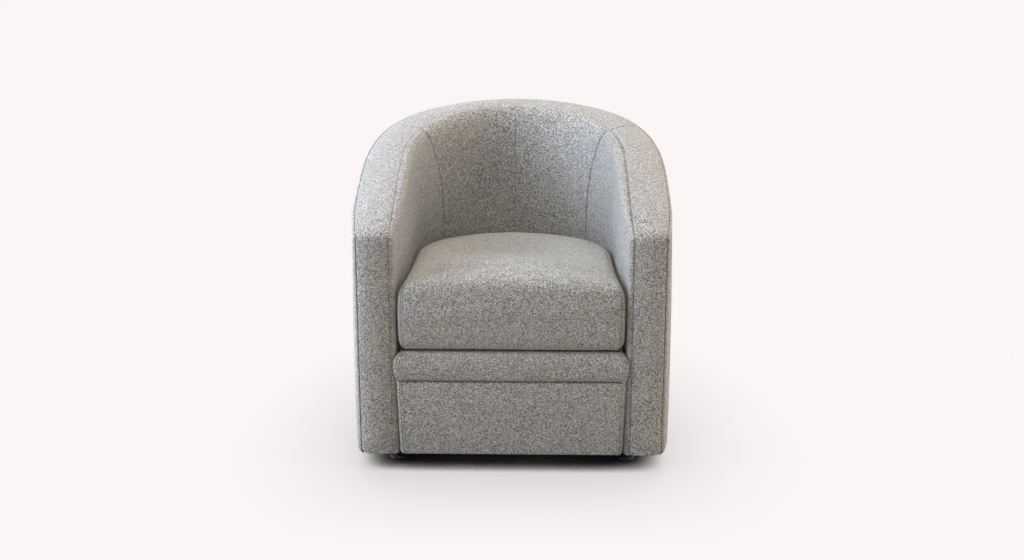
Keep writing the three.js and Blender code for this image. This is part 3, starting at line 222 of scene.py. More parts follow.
def edge_distance(run, z):
    """Distance on the wall from (run, z) to its edge."""
    points = stacked(fold(run), z).reshape(-1, 2)
    coarse, at_once = EDGE[::4], 4000
    least = np.empty(len(points))
    for start in range(0, len(points), at_once):
        part = points[start:start + at_once]
        gap = np.linalg.norm(part[:, None] - coarse[None], axis=-1)
        near = np.argmin(gap, axis=1)
        best = gap[np.arange(len(part)), near]
        for step in (-1, 1):
            other = np.clip(near + step, 0, len(coarse) - 1)
            a, b = coarse[near], coarse[other]
            d = b - a
            k = np.clip(((part - a) * d).sum(1) / np.maximum((d * d).sum(1), 1e-9), 0, 1)
            best = np.minimum(best, np.linalg.norm(part - a - d * k[:, None], axis=1))
        least[start:start + at_once] = best
    return least.reshape(np.shape(run))


# ---- meshes

def unevenness(points, size, seed):
    """Slow random swell over a padded surface, -1 to 1, with lumps of the given size."""
    flat = points.reshape(-1, 3) / size + seed
    return np.array([noise.noise(Vector(p)) for p in flat]).reshape(points.shape[:-1])


def in_scene(obj):
    bpy.context.scene.collection.objects.link(obj)
    return obj


def make_object(name, points, faces, uv=None, seam=None):
    """An object of smooth faces that all look outward, with its cloth coordinates and its seams' shade."""
    mesh = bpy.data.meshes.new(name)
    mesh.from_pydata((np.asarray(points) * MM).tolist(), [], faces)
    if uv is not None:
        layer = mesh.uv_layers.new(name="cloth")
        index = np.empty(len(mesh.loops), np.int32)
        mesh.loops.foreach_get("vertex_index", index)
        layer.data.foreach_set("uv", (np.asarray(uv)[index] * MM).ravel().astype(np.float32))
    if seam is not None:
        attribute = mesh.attributes.new("seam", "FLOAT", "POINT")
        attribute.data.foreach_set("value", np.clip(seam, 0, 1).astype(np.float32).ravel())
    mesh.polygons.foreach_set("use_smooth", [True] * len(mesh.polygons))
    mesh.validate()
    mesh.update()
    turned = bmesh.new()
    turned.from_mesh(mesh)
    bmesh.ops.recalc_face_normals(turned, faces=turned.faces)
    turned.to_mesh(mesh)
    turned.free()
    return in_scene(bpy.data.objects.new(name, mesh))


def quads(a, b, c, d):
    return np.stack([a.ravel(), b.ravel(), c.ravel(), d.ravel()], 1).tolist()


def padded_sheet(name, skin, core, uv, seam):
    """A closed pad: a grid for its skin, a grid for its underside, and rims between them."""
    nu, nv = skin.shape[:2]
    count = nu * nv
    index = np.arange(count).reshape(nu, nv)
    faces = quads(index[:-1, :-1], index[1:, :-1], index[1:, 1:], index[:-1, 1:])
    under = index + count
    faces += quads(under[:-1, 1:], under[1:, 1:], under[1:, :-1], under[:-1, :-1])
    for line in (index[:, 0], index[::-1, -1], index[0, ::-1], index[-1, :]):
        faces += quads(line[1:], line[:-1], line[:-1] + count, line[1:] + count)
    points = np.vstack([skin.reshape(-1, 3), core.reshape(-1, 3)])
    uv = np.vstack([uv.reshape(-1, 2)] * 2)
    seam = np.concatenate([seam.ravel(), np.zeros(count)])
    return make_object(name, points, faces, uv, seam)


def ring_faces(nu, nv, first=0, closed_ends=True):
    """Faces of a skin whose first index goes round; its two ends are capped, or joined to each other."""
    index = np.arange(nu * nv).reshape(nu, nv) + first
    after = np.roll(index, -1, axis=0)
    faces = quads(index[:, :-1], after[:, :-1], after[:, 1:], index[:, 1:])
    if closed_ends:
        return faces + [index[::-1, 0].tolist(), index[:, -1].tolist()]
    return faces + quads(index[:, -1], after[:, -1], after[:, 0], index[:, 0])


def ring_body(name, grid, uv=None, seam=None, closed_ends=True):
    faces = ring_faces(*grid.shape[:2], closed_ends=closed_ends)
    return make_object(name, grid.reshape(-1, 3), faces, uv, seam)


def tube(path, radius, sides):
    """Rings of points round a path, for ring_body."""
    path = np.asarray(path, float)
    ahead = unit(np.gradient(path, axis=0))
    side = unit(np.cross(ahead, [0, 0, 1]))
    up = np.cross(side, ahead)
    angle = np.linspace(0, 2 * math.pi, sides, endpoint=False)[:, None, None]
    return path[None] + radius * (np.cos(angle) * side[None] + np.sin(angle) * up[None])


# ---- materials

def srgb(text):
    """An sRGB hex colour as linear RGBA."""
    values = [int(text[i:i + 2], 16) / 255 for i in (0, 2, 4)]
    return [v / 12.92 if v <= 0.04045 else ((v + 0.055) / 1.055) ** 2.4 for v in values] + [1]


def new_material(name):
    material = bpy.data.materials.new(name)
    material.use_nodes = True
    material.node_tree.nodes.clear()
    return material, material.node_tree


def add(tree, kind, inputs=(), stops=(), **settings):
    """Adds a shader node and returns its outputs. An input is a value, or another node's output to link from;
    stops are a ramp's (position, sRGB hex) pairs."""
    node = tree.nodes.new("ShaderNode" + kind)
    for key, value in settings.items():
        setattr(node, key, value)
    for key, value in dict(inputs).items():
        if isinstance(value, bpy.types.NodeSocket):
            tree.links.new(value, node.inputs[key])
        else:
            node.inputs[key].default_value = value
    while stops and len(node.color_ramp.elements) < len(stops):
        node.color_ramp.elements.new(0.5)
    for i, (position, colour) in enumerate(stops):
        node.color_ramp.elements[i].position = position
        node.color_ramp.elements[i].color = srgb(colour)
    return node.outputs


def mottled(name, scale, detail, stops, gain, base):
    """A new material with cloudy colour and roughness; also its texture place, for finer grain."""
    material, tree = new_material(name)
    place = add(tree, "TexCoord")[3]
    cloud = add(tree, "TexNoise", {"Vector": place, "Scale": scale, "Detail": detail})[0]
    colour = add(tree, "ValToRGB", {"Fac": cloud}, stops)[0]
    rough = add(tree, "Math", {0: cloud, 1: gain, 2: base}, operation="MULTIPLY_ADD")[0]
    return material, tree, place, cloud, colour, rough


def finish_material(tree, colour, roughness, height, distance, **shader):
    """Principled shader with bump; distance is the height of the relief in metres."""
    normal = add(tree, "Bump", {"Strength": 1.0, "Distance": distance, "Height": height})[0]
    inputs = {"Base Color": colour, "Roughness": roughness, "Normal": normal}
    inputs.update({key.replace("_", " "): value for key, value in shader.items()})
    principled = add(tree, "BsdfPrincipled", inputs)[0]
    add(tree, "OutputMaterial", {"Surface": principled})


def heathered_tweed():
    """Heathered tweed: plain-woven from yarns of mixed fibre, so each crossing has its own grey, and a few
    are warm or cool. To the eye it is salt-and-pepper grey, matt, with a faint pale bloom along its edges.
    The real yarns are about 1 mm apart; they are drawn 1.5 mm apart so that they show in the render."""
    yarn_pitch = 1.5
    material, tree = new_material("heathered_grey_tweed")
    uv = add(tree, "UVMap", uv_map="cloth")[0]
    flat = add(tree, "VectorMath", {0: uv, "Scale": 1000 / yarn_pitch}, operation="SCALE")[0]
    wander = add(tree, "TexNoise", {"Vector": flat, "Scale": 0.35, "Detail": 1.0}, noise_dimensions="2D")[1]
    place = add(tree, "VectorMath", {0: wander, 1: (0.9, 0.9, 0.9), 2: flat}, operation="MULTIPLY_ADD")[0]
    axes = add(tree, "SeparateXYZ", {0: place})
    column = add(tree, "Math", {0: axes[0]}, operation="FLOOR")[0]
    row = add(tree, "Math", {0: axes[1]}, operation="FLOOR")[0]
    # Tone along each warp and weft yarn; each reads its own line of the noise
    yarns = []
    for side, number, spread, start in ((0, column, 7.31, 0.0), (1, row, 5.77, 431.0)):
        line = add(tree, "Math", {0: number, 1: spread, 2: start}, operation="MULTIPLY_ADD")[0]
        run = add(tree, "Math", {0: axes[1 - side], 1: 0.4}, operation="MULTIPLY")[0]
        on_yarn = add(tree, "CombineXYZ", {side: line, 1 - side: run})[0]
        yarns.append(add(tree, "TexNoise", {"Vector": on_yarn, "Scale": 1.0, "Detail": 2.0},
                         noise_dimensions="2D")[0])
    crossing = add(tree, "Math", {0: column, 1: row}, operation="ADD")[0]
    parity = add(tree, "Math", {0: crossing, 1: 1.0}, operation="PINGPONG")[0]
    yarn = add(tree, "Mix", {0: parity, 2: yarns[0], 3: yarns[1]})[0]
    # Each crossing's own fibre mix
    cell = add(tree, "CombineXYZ", {0: column, 1: row})[0]
    knot = add(tree, "TexWhiteNoise", {"Vector": cell}, noise_dimensions="2D")
    fibre = add(tree, "TexNoise", {"Vector": place, "Scale": 1.7, "Detail": 3.0, "Roughness": 0.7},
                noise_dimensions="2D")[0]
    tone = add(tree, "Mix", {0: 0.72, 2: yarn, 3: knot[0]})[0]
    tone = add(tree, "Mix", {0: 0.25, 2: tone, 3: fibre})[0]
    colour = add(tree, "ValToRGB", {"Fac": tone}, [
        (0.27, "484846"), (0.4, "7e7e79"), (0.5, "a4a49d"), (0.6, "c8c8be"), (0.75, "eeeee3")])[0]
    tint = add(tree, "SeparateColor", {0: knot[1]})
    warm = add(tree, "MapRange", {0: tint[1], 1: 0.7, 2: 0.8, 4: 0.45})[0]
    cool = add(tree, "MapRange", {0: tint[1], 1: 0.3, 2: 0.2, 4: 0.4})[0]
    colour = add(tree, "Mix", {0: warm, 6: colour, 7: srgb("bab27c")}, data_type="RGBA")[2]
    colour = add(tree, "Mix", {0: cool, 6: colour, 7: srgb("8590a8")}, data_type="RGBA")[2]
    # Seams: the cloth is turned in and dark. The same attribute carries painted shade in the gaps where the front
    # border's ends meet the arms
    seam = add(tree, "Attribute", attribute_name="seam")[2]
    dark = add(tree, "Math", {0: seam, 1: 0.62}, operation="MULTIPLY")[0]
    colour = add(tree, "Mix", {0: dark, 6: colour, 7: srgb("42413d")}, data_type="RGBA")[2]
    # Relief: each crossing is a small hump, and light yarns stand a little prouder
    humps = []
    for axis in (0, 1):
        part = add(tree, "Math", {0: axes[axis]}, operation="FRACT")[0]
        turn = add(tree, "Math", {0: part, 1: math.pi}, operation="MULTIPLY")[0]
        humps.append(add(tree, "Math", {0: turn}, operation="SINE")[0])
    hump = add(tree, "Math", {0: humps[0], 1: humps[1]}, operation="MULTIPLY")[0]
    height = add(tree, "Math", {0: tone, 1: 1.2, 2: hump}, operation="MULTIPLY_ADD")[0]
    finish_material(tree, colour, 0.92, height, 0.0005, Sheen_Weight=0.45, Sheen_Roughness=0.4,
                    Specular_IOR_Level=0.2)
    return material


def lining_cloth():
    """Spunbonded polypropylene, the black cambric under seats: heat-pressed fibres, matt, with a fine
    embossed dot grid 2 mm apart."""
    material, tree = new_material("black_spunbond_lining")
    place = add(tree, "TexCoord")[3]
    dots = add(tree, "TexVoronoi", {"Vector": place, "Scale": 500.0, "Randomness": 0.15})[0]
    cloud = add(tree, "TexNoise", {"Vector": place, "Scale": 60.0, "Detail": 4.0})[0]
    colour = add(tree, "ValToRGB", {"Fac": cloud}, [(0.35, "1c1c1d"), (0.65, "2f2f31")])[0]
    finish_material(tree, colour, 0.85, dots, 0.0002, Sheen_Weight=0.1)
    return material


def frame_timber(name, along, dark, middle, light):
    """Sawn softwood or plywood of a seat frame: straight grain along one axis with dark lines 4 mm apart."""
    grain_pitch = 4
    material, tree = new_material(name)
    place = add(tree, "TexCoord")[3]
    stretch = [900 / grain_pitch] * 3
    stretch[along] = 12
    mapped = add(tree, "Mapping", {"Vector": place, "Scale": stretch})[0]
    grain = add(tree, "TexNoise", {"Vector": mapped, "Scale": 1.0, "Detail": 5.0, "Distortion": 0.6})[0]
    colour = add(tree, "ValToRGB", {"Fac": grain}, [(0.35, dark), (0.5, middle), (0.66, light)])[0]
    rough = add(tree, "Math", {0: grain, 1: 0.2, 2: 0.55}, operation="MULTIPLY_ADD")[0]
    finish_material(tree, colour, rough, grain, 0.0003)
    return material


def coated_steel():
    """Powder-coated steel, baked on: satin black with a fine orange peel 1.5 mm across."""
    stops = [(0.35, "18191a"), (0.7, "232425")]
    material, tree, place, _, colour, rough = mottled("black_powder_coated_steel", 25.0, 3.0, stops, 0.2, 0.35)
    peel = add(tree, "TexNoise", {"Vector": place, "Scale": 1000 / 1.5, "Detail": 2.0})[0]
    finish_material(tree, colour, rough, peel, 0.00008)
    return material


def zinc_steel():
    """Bright zinc plate on steel: bluish metal with faint cloudy patches."""
    stops = [(0.3, "9fa3a8"), (0.7, "c6c9cc")]
    material, tree, _, cloud, colour, rough = mottled("zinc_plated_steel", 90.0, 5.0, stops, 0.3, 0.2)
    finish_material(tree, colour, rough, cloud, 0.00005, Metallic=1.0)
    return material


def moulded(name, dark, light, roughness, grain_mm):
    """Moulded rubber, foam or plastic: even colour, a soft gloss and the fine grain of the mould."""
    stops = [(0.35, dark), (0.65, light)]
    material, tree, place, _, colour, rough = mottled(name, 40.0, 2.0, stops, 0.15, roughness)
    grain = add(tree, "TexNoise", {"Vector": place, "Scale": 1000 / grain_mm, "Detail": 3.0})[0]
    finish_material(tree, colour, rough, grain, 0.0001)
    return material


PINE = ("a07a48", "bb935d", "c9a673")
tweed = heathered_tweed()
lining = lining_cloth()
timber_x = frame_timber("sawn_pine_crosswise", 0, *PINE)
timber_y = frame_timber("sawn_pine_lengthwise", 1, *PINE)
timber_z = frame_timber("sawn_pine_upright", 2, *PINE)
plywood = frame_timber("birch_plywood", 0, "b3915f", "c6a674", "d8bd8e")
black_steel = coated_steel()
zinc = zinc_steel()
rubber = moulded("black_moulded_rubber", "141414", "1d1d1e", 0.7, 1.2)
glide_plastic = moulded("black_moulded_polypropylene", "121213", "1b1b1c", 0.42, 0.8)
bush_nylon = moulded("natural_nylon", "dedacb", "e9e6da", 0.4, 0.8)
foam = moulded("polyurethane_foam", "e0d3ae", "efe5c6", 0.9, 2.0)

# ---- upholstery on the wall

def dress(obj, body, finish, slot, *nodes, fill=None):
    """Gives a piece its finish and says which body it rides and what it replaces. Its fill, how much of it is
    solid, is not used.
    """
    obj.data.materials.clear()
    obj.data.materials.append(finish)
    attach(obj, body)
    if nodes:
        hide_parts(*nodes)
    return obj


def groove(distance, depth, width, ridge):
    """A sewn seam across a padded skin: a narrow groove with the turned edges standing up beside it."""
    near = np.abs(distance)
    return depth * np.exp(-(near / width) ** 2) - ridge * np.exp(-((near - 2.6 * width) / (1.3 * width)) ** 2)


def seam_shade(distance, width=0.6):
    return np.exp(-(distance / width) ** 2)


SHOULDER = 2.1                  # fullness of a pad's rolled edge; 2 is a quarter circle
EDGE_SHADE = 0.6                # the seams along the band are fine and pale


def panel_seam_run(z):
    """The seam between two inside panels slants from its foot up to its head at the cross seam."""
    share = np.clip((z - PANEL_SEAM_FOOT_Z) / (PANEL_SEAM_HEAD_Z - PANEL_SEAM_FOOT_Z), 0, 1)
    return RUN * (PANEL_SEAM_SHARE + (SEAM_SHARE - PANEL_SEAM_SHARE) * share ** 3)


def edge_roll(distance, fall, height):
    """How far a pad's skin falls back near the edge: a full quarter round that ends in the seam."""
    t = np.clip(1 - (distance - SEWN_IN) / height, 0, 1)
    return fall * (1 - (1 - t ** SHOULDER) ** (1 / SHOULDER))


def wall_pad(name, shares, run_at, bottom_of, rows, depth_at, edge_t, roll_at, from_outside, extra):
    """A padded sheet on the wall. run_at gives a column's run at a height; rows are shares of its height."""
    tops = np.full(len(shares), float(BACK_TOP_Z))
    for i, share in enumerate(shares):
        for _ in range(12):
            tops[i] = float(edge_height(np.array(run_at(share, tops[i])))) - SEWN_IN
    bottoms = np.array([bottom_of(run_at(share, SHELL_BOTTOM_Z)) for share in shares])
    z = bottoms[:, None] + (tops - bottoms)[:, None] * rows[None]
    run = np.stack([[run_at(share, value) for value in line] for share, line in zip(shares, z)])
    distance = edge_distance(run, z)
    full = depth_at(run)
    rolled = edge_roll(distance, full - edge_t, roll_at(run))
    more, shade = extra(run, z, np.hypot(distance, full - edge_t - rolled))
    depth = np.minimum(rolled + more, full - edge_t)
    skin = wall(run, depth, z, from_outside)
    core = wall(run, full, z, from_outside)
    uv = stacked(lengths_along(skin[:, len(rows) // 2])[:, None], lengths_up(skin))
    return padded_sheet(name, skin, core, uv, shade)


def row_table(height, step):
    """Rows from the bottom to the edge, closer together near both."""
    middle = np.linspace(0, 1, int(height / step))
    fine_low = np.array([0.6, 1.4, 2.5, 4, 6, 9, 13]) / height
    fine_top = 1 - np.array([0.05, 0.2, 0.5, 1.2, 2, 3, 4.2, 5.6, 7.4, 9.6, 12.5, 16, 20, 25, 31]) / height
    kept = middle[(middle > 15 / height) & (middle < 1 - 35 / height)]
    return np.unique(np.round(np.concatenate([[0], fine_low, kept, fine_top, [1]]), 6))


def panel_seam(side, z):
    """The groove of a panel seam in its hollow, and the short gathers that fan out from its head."""
    reach = 70
    below = PANEL_SEAM_HEAD_Z - z
    along = np.clip(1 - below / reach, 0, 1)
    gathers = 0.9 * along ** 2 * np.exp(-(side / 26) ** 2) * np.sin(0.55 * side + 0.12 * below)
    return groove(side, 1.8, 1.7, 0.4) + np.exp(-(side / 14) ** 2) + gathers


def pad_roll(run):
    """Height of the soft roll at a pad's edge: low on the arm fronts, higher along the arms and the back."""
    return 12 + 18 * smooth_step(10, 120, fold(run)) + 28 * smooth_step(0.6 * RUN, 0.85 * RUN, fold(run))


def arm_extra(run, z, distance):
    """Extra depth and seam shade of an arm pad. At its front it is full at the foot, and dented by the roll."""
    side = run - panel_seam_run(z)
    swell = -1.4 * smooth_step(20, 120, distance) * smooth_step(0, 160, -side)
    swell -= 3.8 * smooth_step(488, 540, z) * smooth_step(25, 110, run) * smooth_step(0, 120, -side)
    swell += 0.5 * unevenness(stacked(run, z, 0.0), 110, 3.1)
    foot = -2.2 * (1 - smooth_step(60, 235, z)) * (1 - smooth_step(14, 46, run))
    dent = 3.4 * np.exp(-((z - 272) / 26) ** 2) * (1 - smooth_step(12, 34, run))
    shade = 0.6 * seam_shade(side) + EDGE_SHADE * seam_shade(distance - SEWN_IN)
    return panel_seam(side, z) + swell + foot + dent, shade


def back_extra(run, z, distance):
    """Extra depth and seam shade of the back pad, with the seam down its middle."""
    side, middle = fold(run) - panel_seam_run(z), run - RUN
    swell = -1.8 * smooth_step(20, 110, distance) * smooth_step(0, 70, side) * smooth_step(0, 60, np.abs(middle))
    swell += 0.6 * unevenness(stacked(run, z, 40.0), 120, 7.7)
    shade = 0.6 * seam_shade(side) + 0.7 * seam_shade(middle) + EDGE_SHADE * seam_shade(distance - SEWN_IN)
    return panel_seam(side, z) + groove(middle, 1.6, 1.7, 0.3) + swell, shade


PAD_ROWS = row_table(430, 9)
COVER_ROWS = row_table(600, 16)
PANEL_SHARES = 260              # columns of a panel are placed in shares of its width, about 1 mm each


def arm_pad():
    """Its front columns stand upright; the others slant more and more, up to the panel seam."""
    upright = 20
    far = upright + PANEL_SHARES
    front = [0.2, 0.7, 1.4, 2.4, 3.8, 5.6, 8, 11, 14.5, 18.5, upright, 20.6]
    seam_side = far - np.array([5.0, 3.8, 2.8, 2.1, 1.5, 1.0, 0.6, 0.3, 0])

    def run_at(share, z):
        if share <= upright:
            return share
        return upright + (panel_seam_run(z) - SOFT_GAP / 2 - upright) * (share - upright) / PANEL_SHARES

    def bottom(run):
        return SHELL_BOTTOM_Z + SEWN_IN if run < upright + 0.3 else PAD_BOTTOM_Z
    return wall_pad("inside_arm_pad_fabric", merged(front, spaced(22, far - 6, 3.2), seam_side), run_at, bottom,
                    PAD_ROWS, pad_depth, PAD_EDGE_T, pad_roll, False, arm_extra)


def back_pad():
    """Two panels that meet in a seam at the middle of the back."""
    def run_at(share, z):
        start = panel_seam_run(z) + SOFT_GAP / 2
        return start + (RUN - start) * share if share <= 1 else 2 * RUN - start - (RUN - start) * (2 - share)
    seam_side = np.array([0, 0.8, 1.6, 2.6, 4, 5.8, 8, 11, 15]) / PANEL_SHARES
    middle = 1 - np.array([0, 0.7, 1.5, 2.6, 4, 6.2, 9, 14]) / PANEL_SHARES
    half = merged(seam_side, spaced(0.085, 0.93, 0.026), middle)
    return wall_pad("inside_back_pad_fabric", merged(half, 2 - half), run_at, lambda run: PAD_BOTTOM_Z, PAD_ROWS,
                    pad_depth, PAD_EDGE_T, pad_roll, False, back_extra)


def cover(name, start, end):
    """A flat padded cover on the outside, turned under at its hem."""
    ends = np.array([0, 0.7, 1.4, 2.3, 3.4, 5, 7.5])
    shares = merged(start + ends, spaced(start + 12, end - 12, 9), end - ends)
    hem_z, hem_radius, slack = SHELL_BOTTOM_Z + SEWN_IN, 9, 0.4

    def extra(run, z, distance):
        to_seam = np.abs(fold(run) - SEAM_SHARE * RUN)
        swell = 0.5 * unevenness(stacked(run, z, 90.0), 140, 1.9) * smooth_step(4, 40, distance)
        low = np.clip(hem_radius - (z - hem_z), 0, hem_radius)
        foot = hem_radius - np.sqrt(hem_radius ** 2 - low ** 2)
        return groove(to_seam, 1.7, 1.6, 0.3) + swell + slack + foot, 0.7 * seam_shade(to_seam)
    return wall_pad(name, shares, lambda share, z: share, lambda run: hem_z, COVER_ROWS,
                    lambda run: np.full_like(run, COVER_T), COVER_EDGE_T, lambda run: 7.0, True, extra)


CROWN_SIDE = np.array([0.993, 0.98, 0.96, 0.93, 0.89, 0.83, 0.75, 0.64, 0.5, 0.34, 0.17])
CROWN_ACROSS = np.concatenate([[-1], -CROWN_SIDE, [0], CROWN_SIDE[::-1], [1]])    # across the band, seam to seam
BAND_CROWN = 6.6
CROSS_SEAM = float(np.interp(SEAM_SHARE * RUN, EDGE[FRONT_STEPS:, 0], EDGE_LENGTHS[FRONT_STEPS:]))


def band(name, start, end):
    """A strip along the edge between the inside pads and the outside covers, crowned over its wadding."""
    ends = np.array([0, 0.8, 1.7, 2.8, 4.2, 6, 8.5, 12])
    lengths = merged(start + ends, spaced(start + 16, end - 16, 7), end - ends)
    if start < 1:
        lengths = merged(lengths, spaced(BEND_LOW - 6, BEND_HIGH + 8, 2))
    far_side = (lengths > EDGE_TOTAL)[:, None]
    folded = np.where(lengths > EDGE_TOTAL, 2 * EDGE_TOTAL - lengths, lengths)
    point, tangent = edge_at(folded)
    edge_run, edge_z = point[:, :1], point[:, 1:]
    in_run, in_z = tangent[:, 1:], -tangent[:, :1]
    wide = thickness(point[:, 0], point[:, 1])[:, None]
    low = np.clip(FOOT_RADIUS - folded, 0, FOOT_RADIUS)[:, None]
    curl = FOOT_RADIUS - np.sqrt(FOOT_RADIUS ** 2 - low ** 2)
    inner = pad_depth(edge_run) + SOFT_GAP
    outer = wide - COVER_T - SOFT_GAP - 0.4 * curl
    depth = inner + (outer - inner) * (CROWN_ACROSS + 1) / 2
    to_edge = (1 - np.abs(CROWN_ACROSS)) * (outer - inner) / 2
    to_cross = np.abs(folded - CROSS_SEAM)[:, None] + 0 * depth
    crown = BAND_CROWN * (1 - np.abs(CROWN_ACROSS) ** 2.2) - SEWN_IN - 0.8 * np.exp(-(to_edge / 1.2) ** 2)
    swell = 0.45 * unevenness(stacked(lengths[:, None], depth, 15.0), 90, 5.5) * smooth_step(2, 20, to_edge)
    proud = crown + swell - groove(to_cross, 1.8, 1.6, 0.35) - 0.2 * curl
    run, base_run = edge_run - in_run * proud, edge_run + in_run * BAND_T
    skin = wall(np.where(far_side, 2 * RUN - run, run), depth, edge_z - in_z * proud)
    core = wall(np.where(far_side, 2 * RUN - base_run, base_run), depth, edge_z + in_z * BAND_T)
    edge_shade = EDGE_SHADE * np.where(CROWN_ACROSS < 0, 1, 0.4)
    shade = edge_shade * seam_shade(to_edge - 0.2) + seam_shade(to_cross)
    return padded_sheet(name, skin, core, stacked(depth, lengths[:, None]), shade)


def mirrored(obj, name):
    """The same piece on the other side of the chair."""
    copy = obj.copy()
    copy.data = obj.data.copy()
    copy.name = copy.data.name = name
    co = np.empty(len(copy.data.vertices) * 3, np.float32)
    copy.data.vertices.foreach_get("co", co)
    co[0::3] *= -1
    copy.data.vertices.foreach_set("co", co)
    copy.data.flip_normals()
    copy.data.update()
    return in_scene(copy)


def both_sides(obj, stem, node, fill):
    """Rides the right-hand piece and its mirror image in place of the two CAD nodes."""
    obj.name = obj.data.name = stem + "_right"
    other = mirrored(obj, stem + "_left")
    for piece, side in ((obj, "right"), (other, "left")):
        dress(piece, "seat_body", tweed, "grey_upholstery", node + "_" + side, fill=fill)


BACK_START = SEAM_SHARE * RUN
both_sides(arm_pad(), "inside_arm_pad_fabric", "inside_arm_pad", 0.85)
dress(back_pad(), "seat_body", tweed, "grey_upholstery", "inside_back_pad", fill=0.85)
both_sides(band("arm_band_fabric", 0.0, CROSS_SEAM - SEWN_IN), "arm_band_fabric", "band", 0.9)
dress(band("back_band_fabric", CROSS_SEAM + SEWN_IN, 2 * EDGE_TOTAL - CROSS_SEAM - SEWN_IN), "seat_body", tweed,
      "grey_upholstery", "band_back", fill=0.9)
both_sides(cover("outside_arm_cover_fabric", 0.2, BACK_START - SEWN_IN), "outside_arm_cover_fabric",
           "outside_arm_cover", 0.95)
dress(cover("outside_back_cover_fabric", BACK_START + SEWN_IN, 2 * RUN - BACK_START - SEWN_IN), "seat_body",
      tweed, "grey_upholstery", "outside_back_cover", fill=0.95)

# ---- padded front under the cushion

PANEL_REAR_Y = -363.6
PANEL_OUT = 24                  # the panel stands this far in front of the rail
CREASE_Z = 238
ROLL_CENTRE_Z = 291
BORDER_HALF_WIDTHS = [(50, 270), (140, 273.5), (238, 277), (258, 282), (276, 284.5), (292, 282), (303, 275),
                      (311, 264)]
BORDER_TOP_HALF_WIDTH = 268     # the flap over the seat rail
BORDER_END_RADIUS = 11
END_SEAM, END_STITCH = 9.6, 15.2    # in from each end


def front_border():
    """The front under the cushion: a flat padded panel, a stitched crease, and a soft roll that wraps over
    the seat rail. Roll and panel are sewn to narrow side strips in from their ends."""
    bottom, top = SHELL_BOTTOM_Z + SEWN_IN, DECK_TOP_Z
    rows = [(6, bottom), (12, bottom)]                       # outward from the rail, and height
    for angle in np.linspace(0, math.pi / 2, 7):             # round the lower edge
        rows.append((PANEL_OUT - 4 + 4 * math.sin(angle), bottom + 4 - 4 * math.cos(angle)))
    below = CREASE_Z - np.array([15, 11, 8, 6, 4.4, 3.2, 2.2, 1.3, 0.6, 0])
    for z in np.concatenate([np.linspace(64, 218, 20), below]):
        rows.append((PANEL_OUT + 1.6 * math.sin(math.pi * (z - 58) / (CREASE_Z - 58)), z))
    above = CREASE_Z + np.array([0.6, 1.3, 2.2, 3.2, 4.4, 6, 8, 11])
    for z in np.concatenate([above, np.linspace(253, 289, 8)]):
        rows.append((PANEL_OUT + 1 + 3.6 * math.sin(math.pi * min((z - CREASE_Z) / 66, 1)) ** 0.7, z))
    for angle in np.linspace(0.12, math.pi / 2, 12):         # over the top of the roll
        rows.append((6 + 21.2 * math.cos(angle), ROLL_CENTRE_Z + (top - ROLL_CENTRE_Z) * math.sin(angle)))
    rows += [(0, top), (-12, top), (-26, top), (-40, top), (-52, top)]
    rows = np.array(rows)
    widest = max(width for _, width in BORDER_HALF_WIDTHS)
    ends = np.array([0, 0.5, 1.2, 2.2, 3.6, 5.2, 7, 8.2, 9.2, 10, 10.8, 11.8, 13.2, 15.5, 19]) / widest
    half = merged(1 - ends, np.linspace(0, 0.92, 42))
    share, out = np.meshgrid(merged(-half, half), rows[:, 0], indexing="ij")
    z = np.broadcast_to(rows[:, 1], out.shape)
    on_top = out < 3
    foot = np.clip((62 - z) / 12, 0, 1)
    half_width = np.interp(z, *zip(*BORDER_HALF_WIDTHS)) - 6 * (1 - np.sqrt(1 - foot ** 2))
    x = share * np.where(on_top, BORDER_TOP_HALF_WIDTH, half_width)
    to_end = (1 - np.abs(share)) * widest
    near = np.clip(BORDER_END_RADIUS - to_end, 0, BORDER_END_RADIUS)
    recess = (BORDER_END_RADIUS - np.sqrt(BORDER_END_RADIUS ** 2 - near ** 2)) * np.clip(out / 20, 0, 1)
    crease = np.where(on_top, 999.0, z - CREASE_Z)
    crease_ends = smooth_step(8, 17, to_end)
    pressed = (5.6 * np.exp(-(crease / 2.4) ** 2) + 3.0 * np.exp(-(crease / 8) ** 2)) * crease_ends
    seam, stitch, in_front = to_end - END_SEAM, to_end - END_STITCH, np.where(on_top, 0, 1)
    pressed += (groove(seam, 1.2, 1.3, 0.1) + groove(stitch, 0.6, 1.1, 0.1)) * in_front
    swell = 0.9 * unevenness(stacked(x, z, out), 95, 2.2) * smooth_step(4, 30, to_end) * smooth_step(8, 20, out)
    y = PANEL_REAR_Y - out + recess + pressed + swell
    core = stacked(share * np.where(on_top, BORDER_TOP_HALF_WIDTH, FRONT_HALF - 0.5),
                   np.where(on_top, y, PANEL_REAR_Y),
                   np.where(on_top, PAD_BOTTOM_Z, np.minimum(z, PAD_BOTTOM_Z)))
    painted_gap_shade = 1 - smooth_step(0, 5, to_end)                   # painted shade in the gap where the ends press against the arm
    shade = (0.7 * seam_shade(seam) + 0.35 * seam_shade(stitch) + painted_gap_shade) * in_front
    shade += 0.8 * seam_shade(crease, 0.9) * crease_ends
    return padded_sheet("front_border_fabric", stacked(x, y, z), core, stacked(x, lengths_along(rows)), shade)


dress(front_border(), "seat_body", tweed, "grey_upholstery", "front_border", fill=0.9)

# ---- loose seat cushion

CUSHION_FRONT_Y = -390
CUSHION_BOTTOM_Z = DECK_TOP_Z + 0.3
CUSHION_TOP_Z = 484
CUSHION_CENTRE = np.array([0, -100.0])
CUSHION_GAP = 2.5               # to the inside pads
CUSHION_CORNER = 20             # radius of its front corners
CUSHION_MIDDLE_Z = 306.5        # its plan follows the pads' curve at this height
CORNER_SEAM = 262.0             # length round the plan from the middle of the front
TOP_SEAM_ROW = 15.0             # profile row of the seam along the top of the sides
ZIP_Z = 346


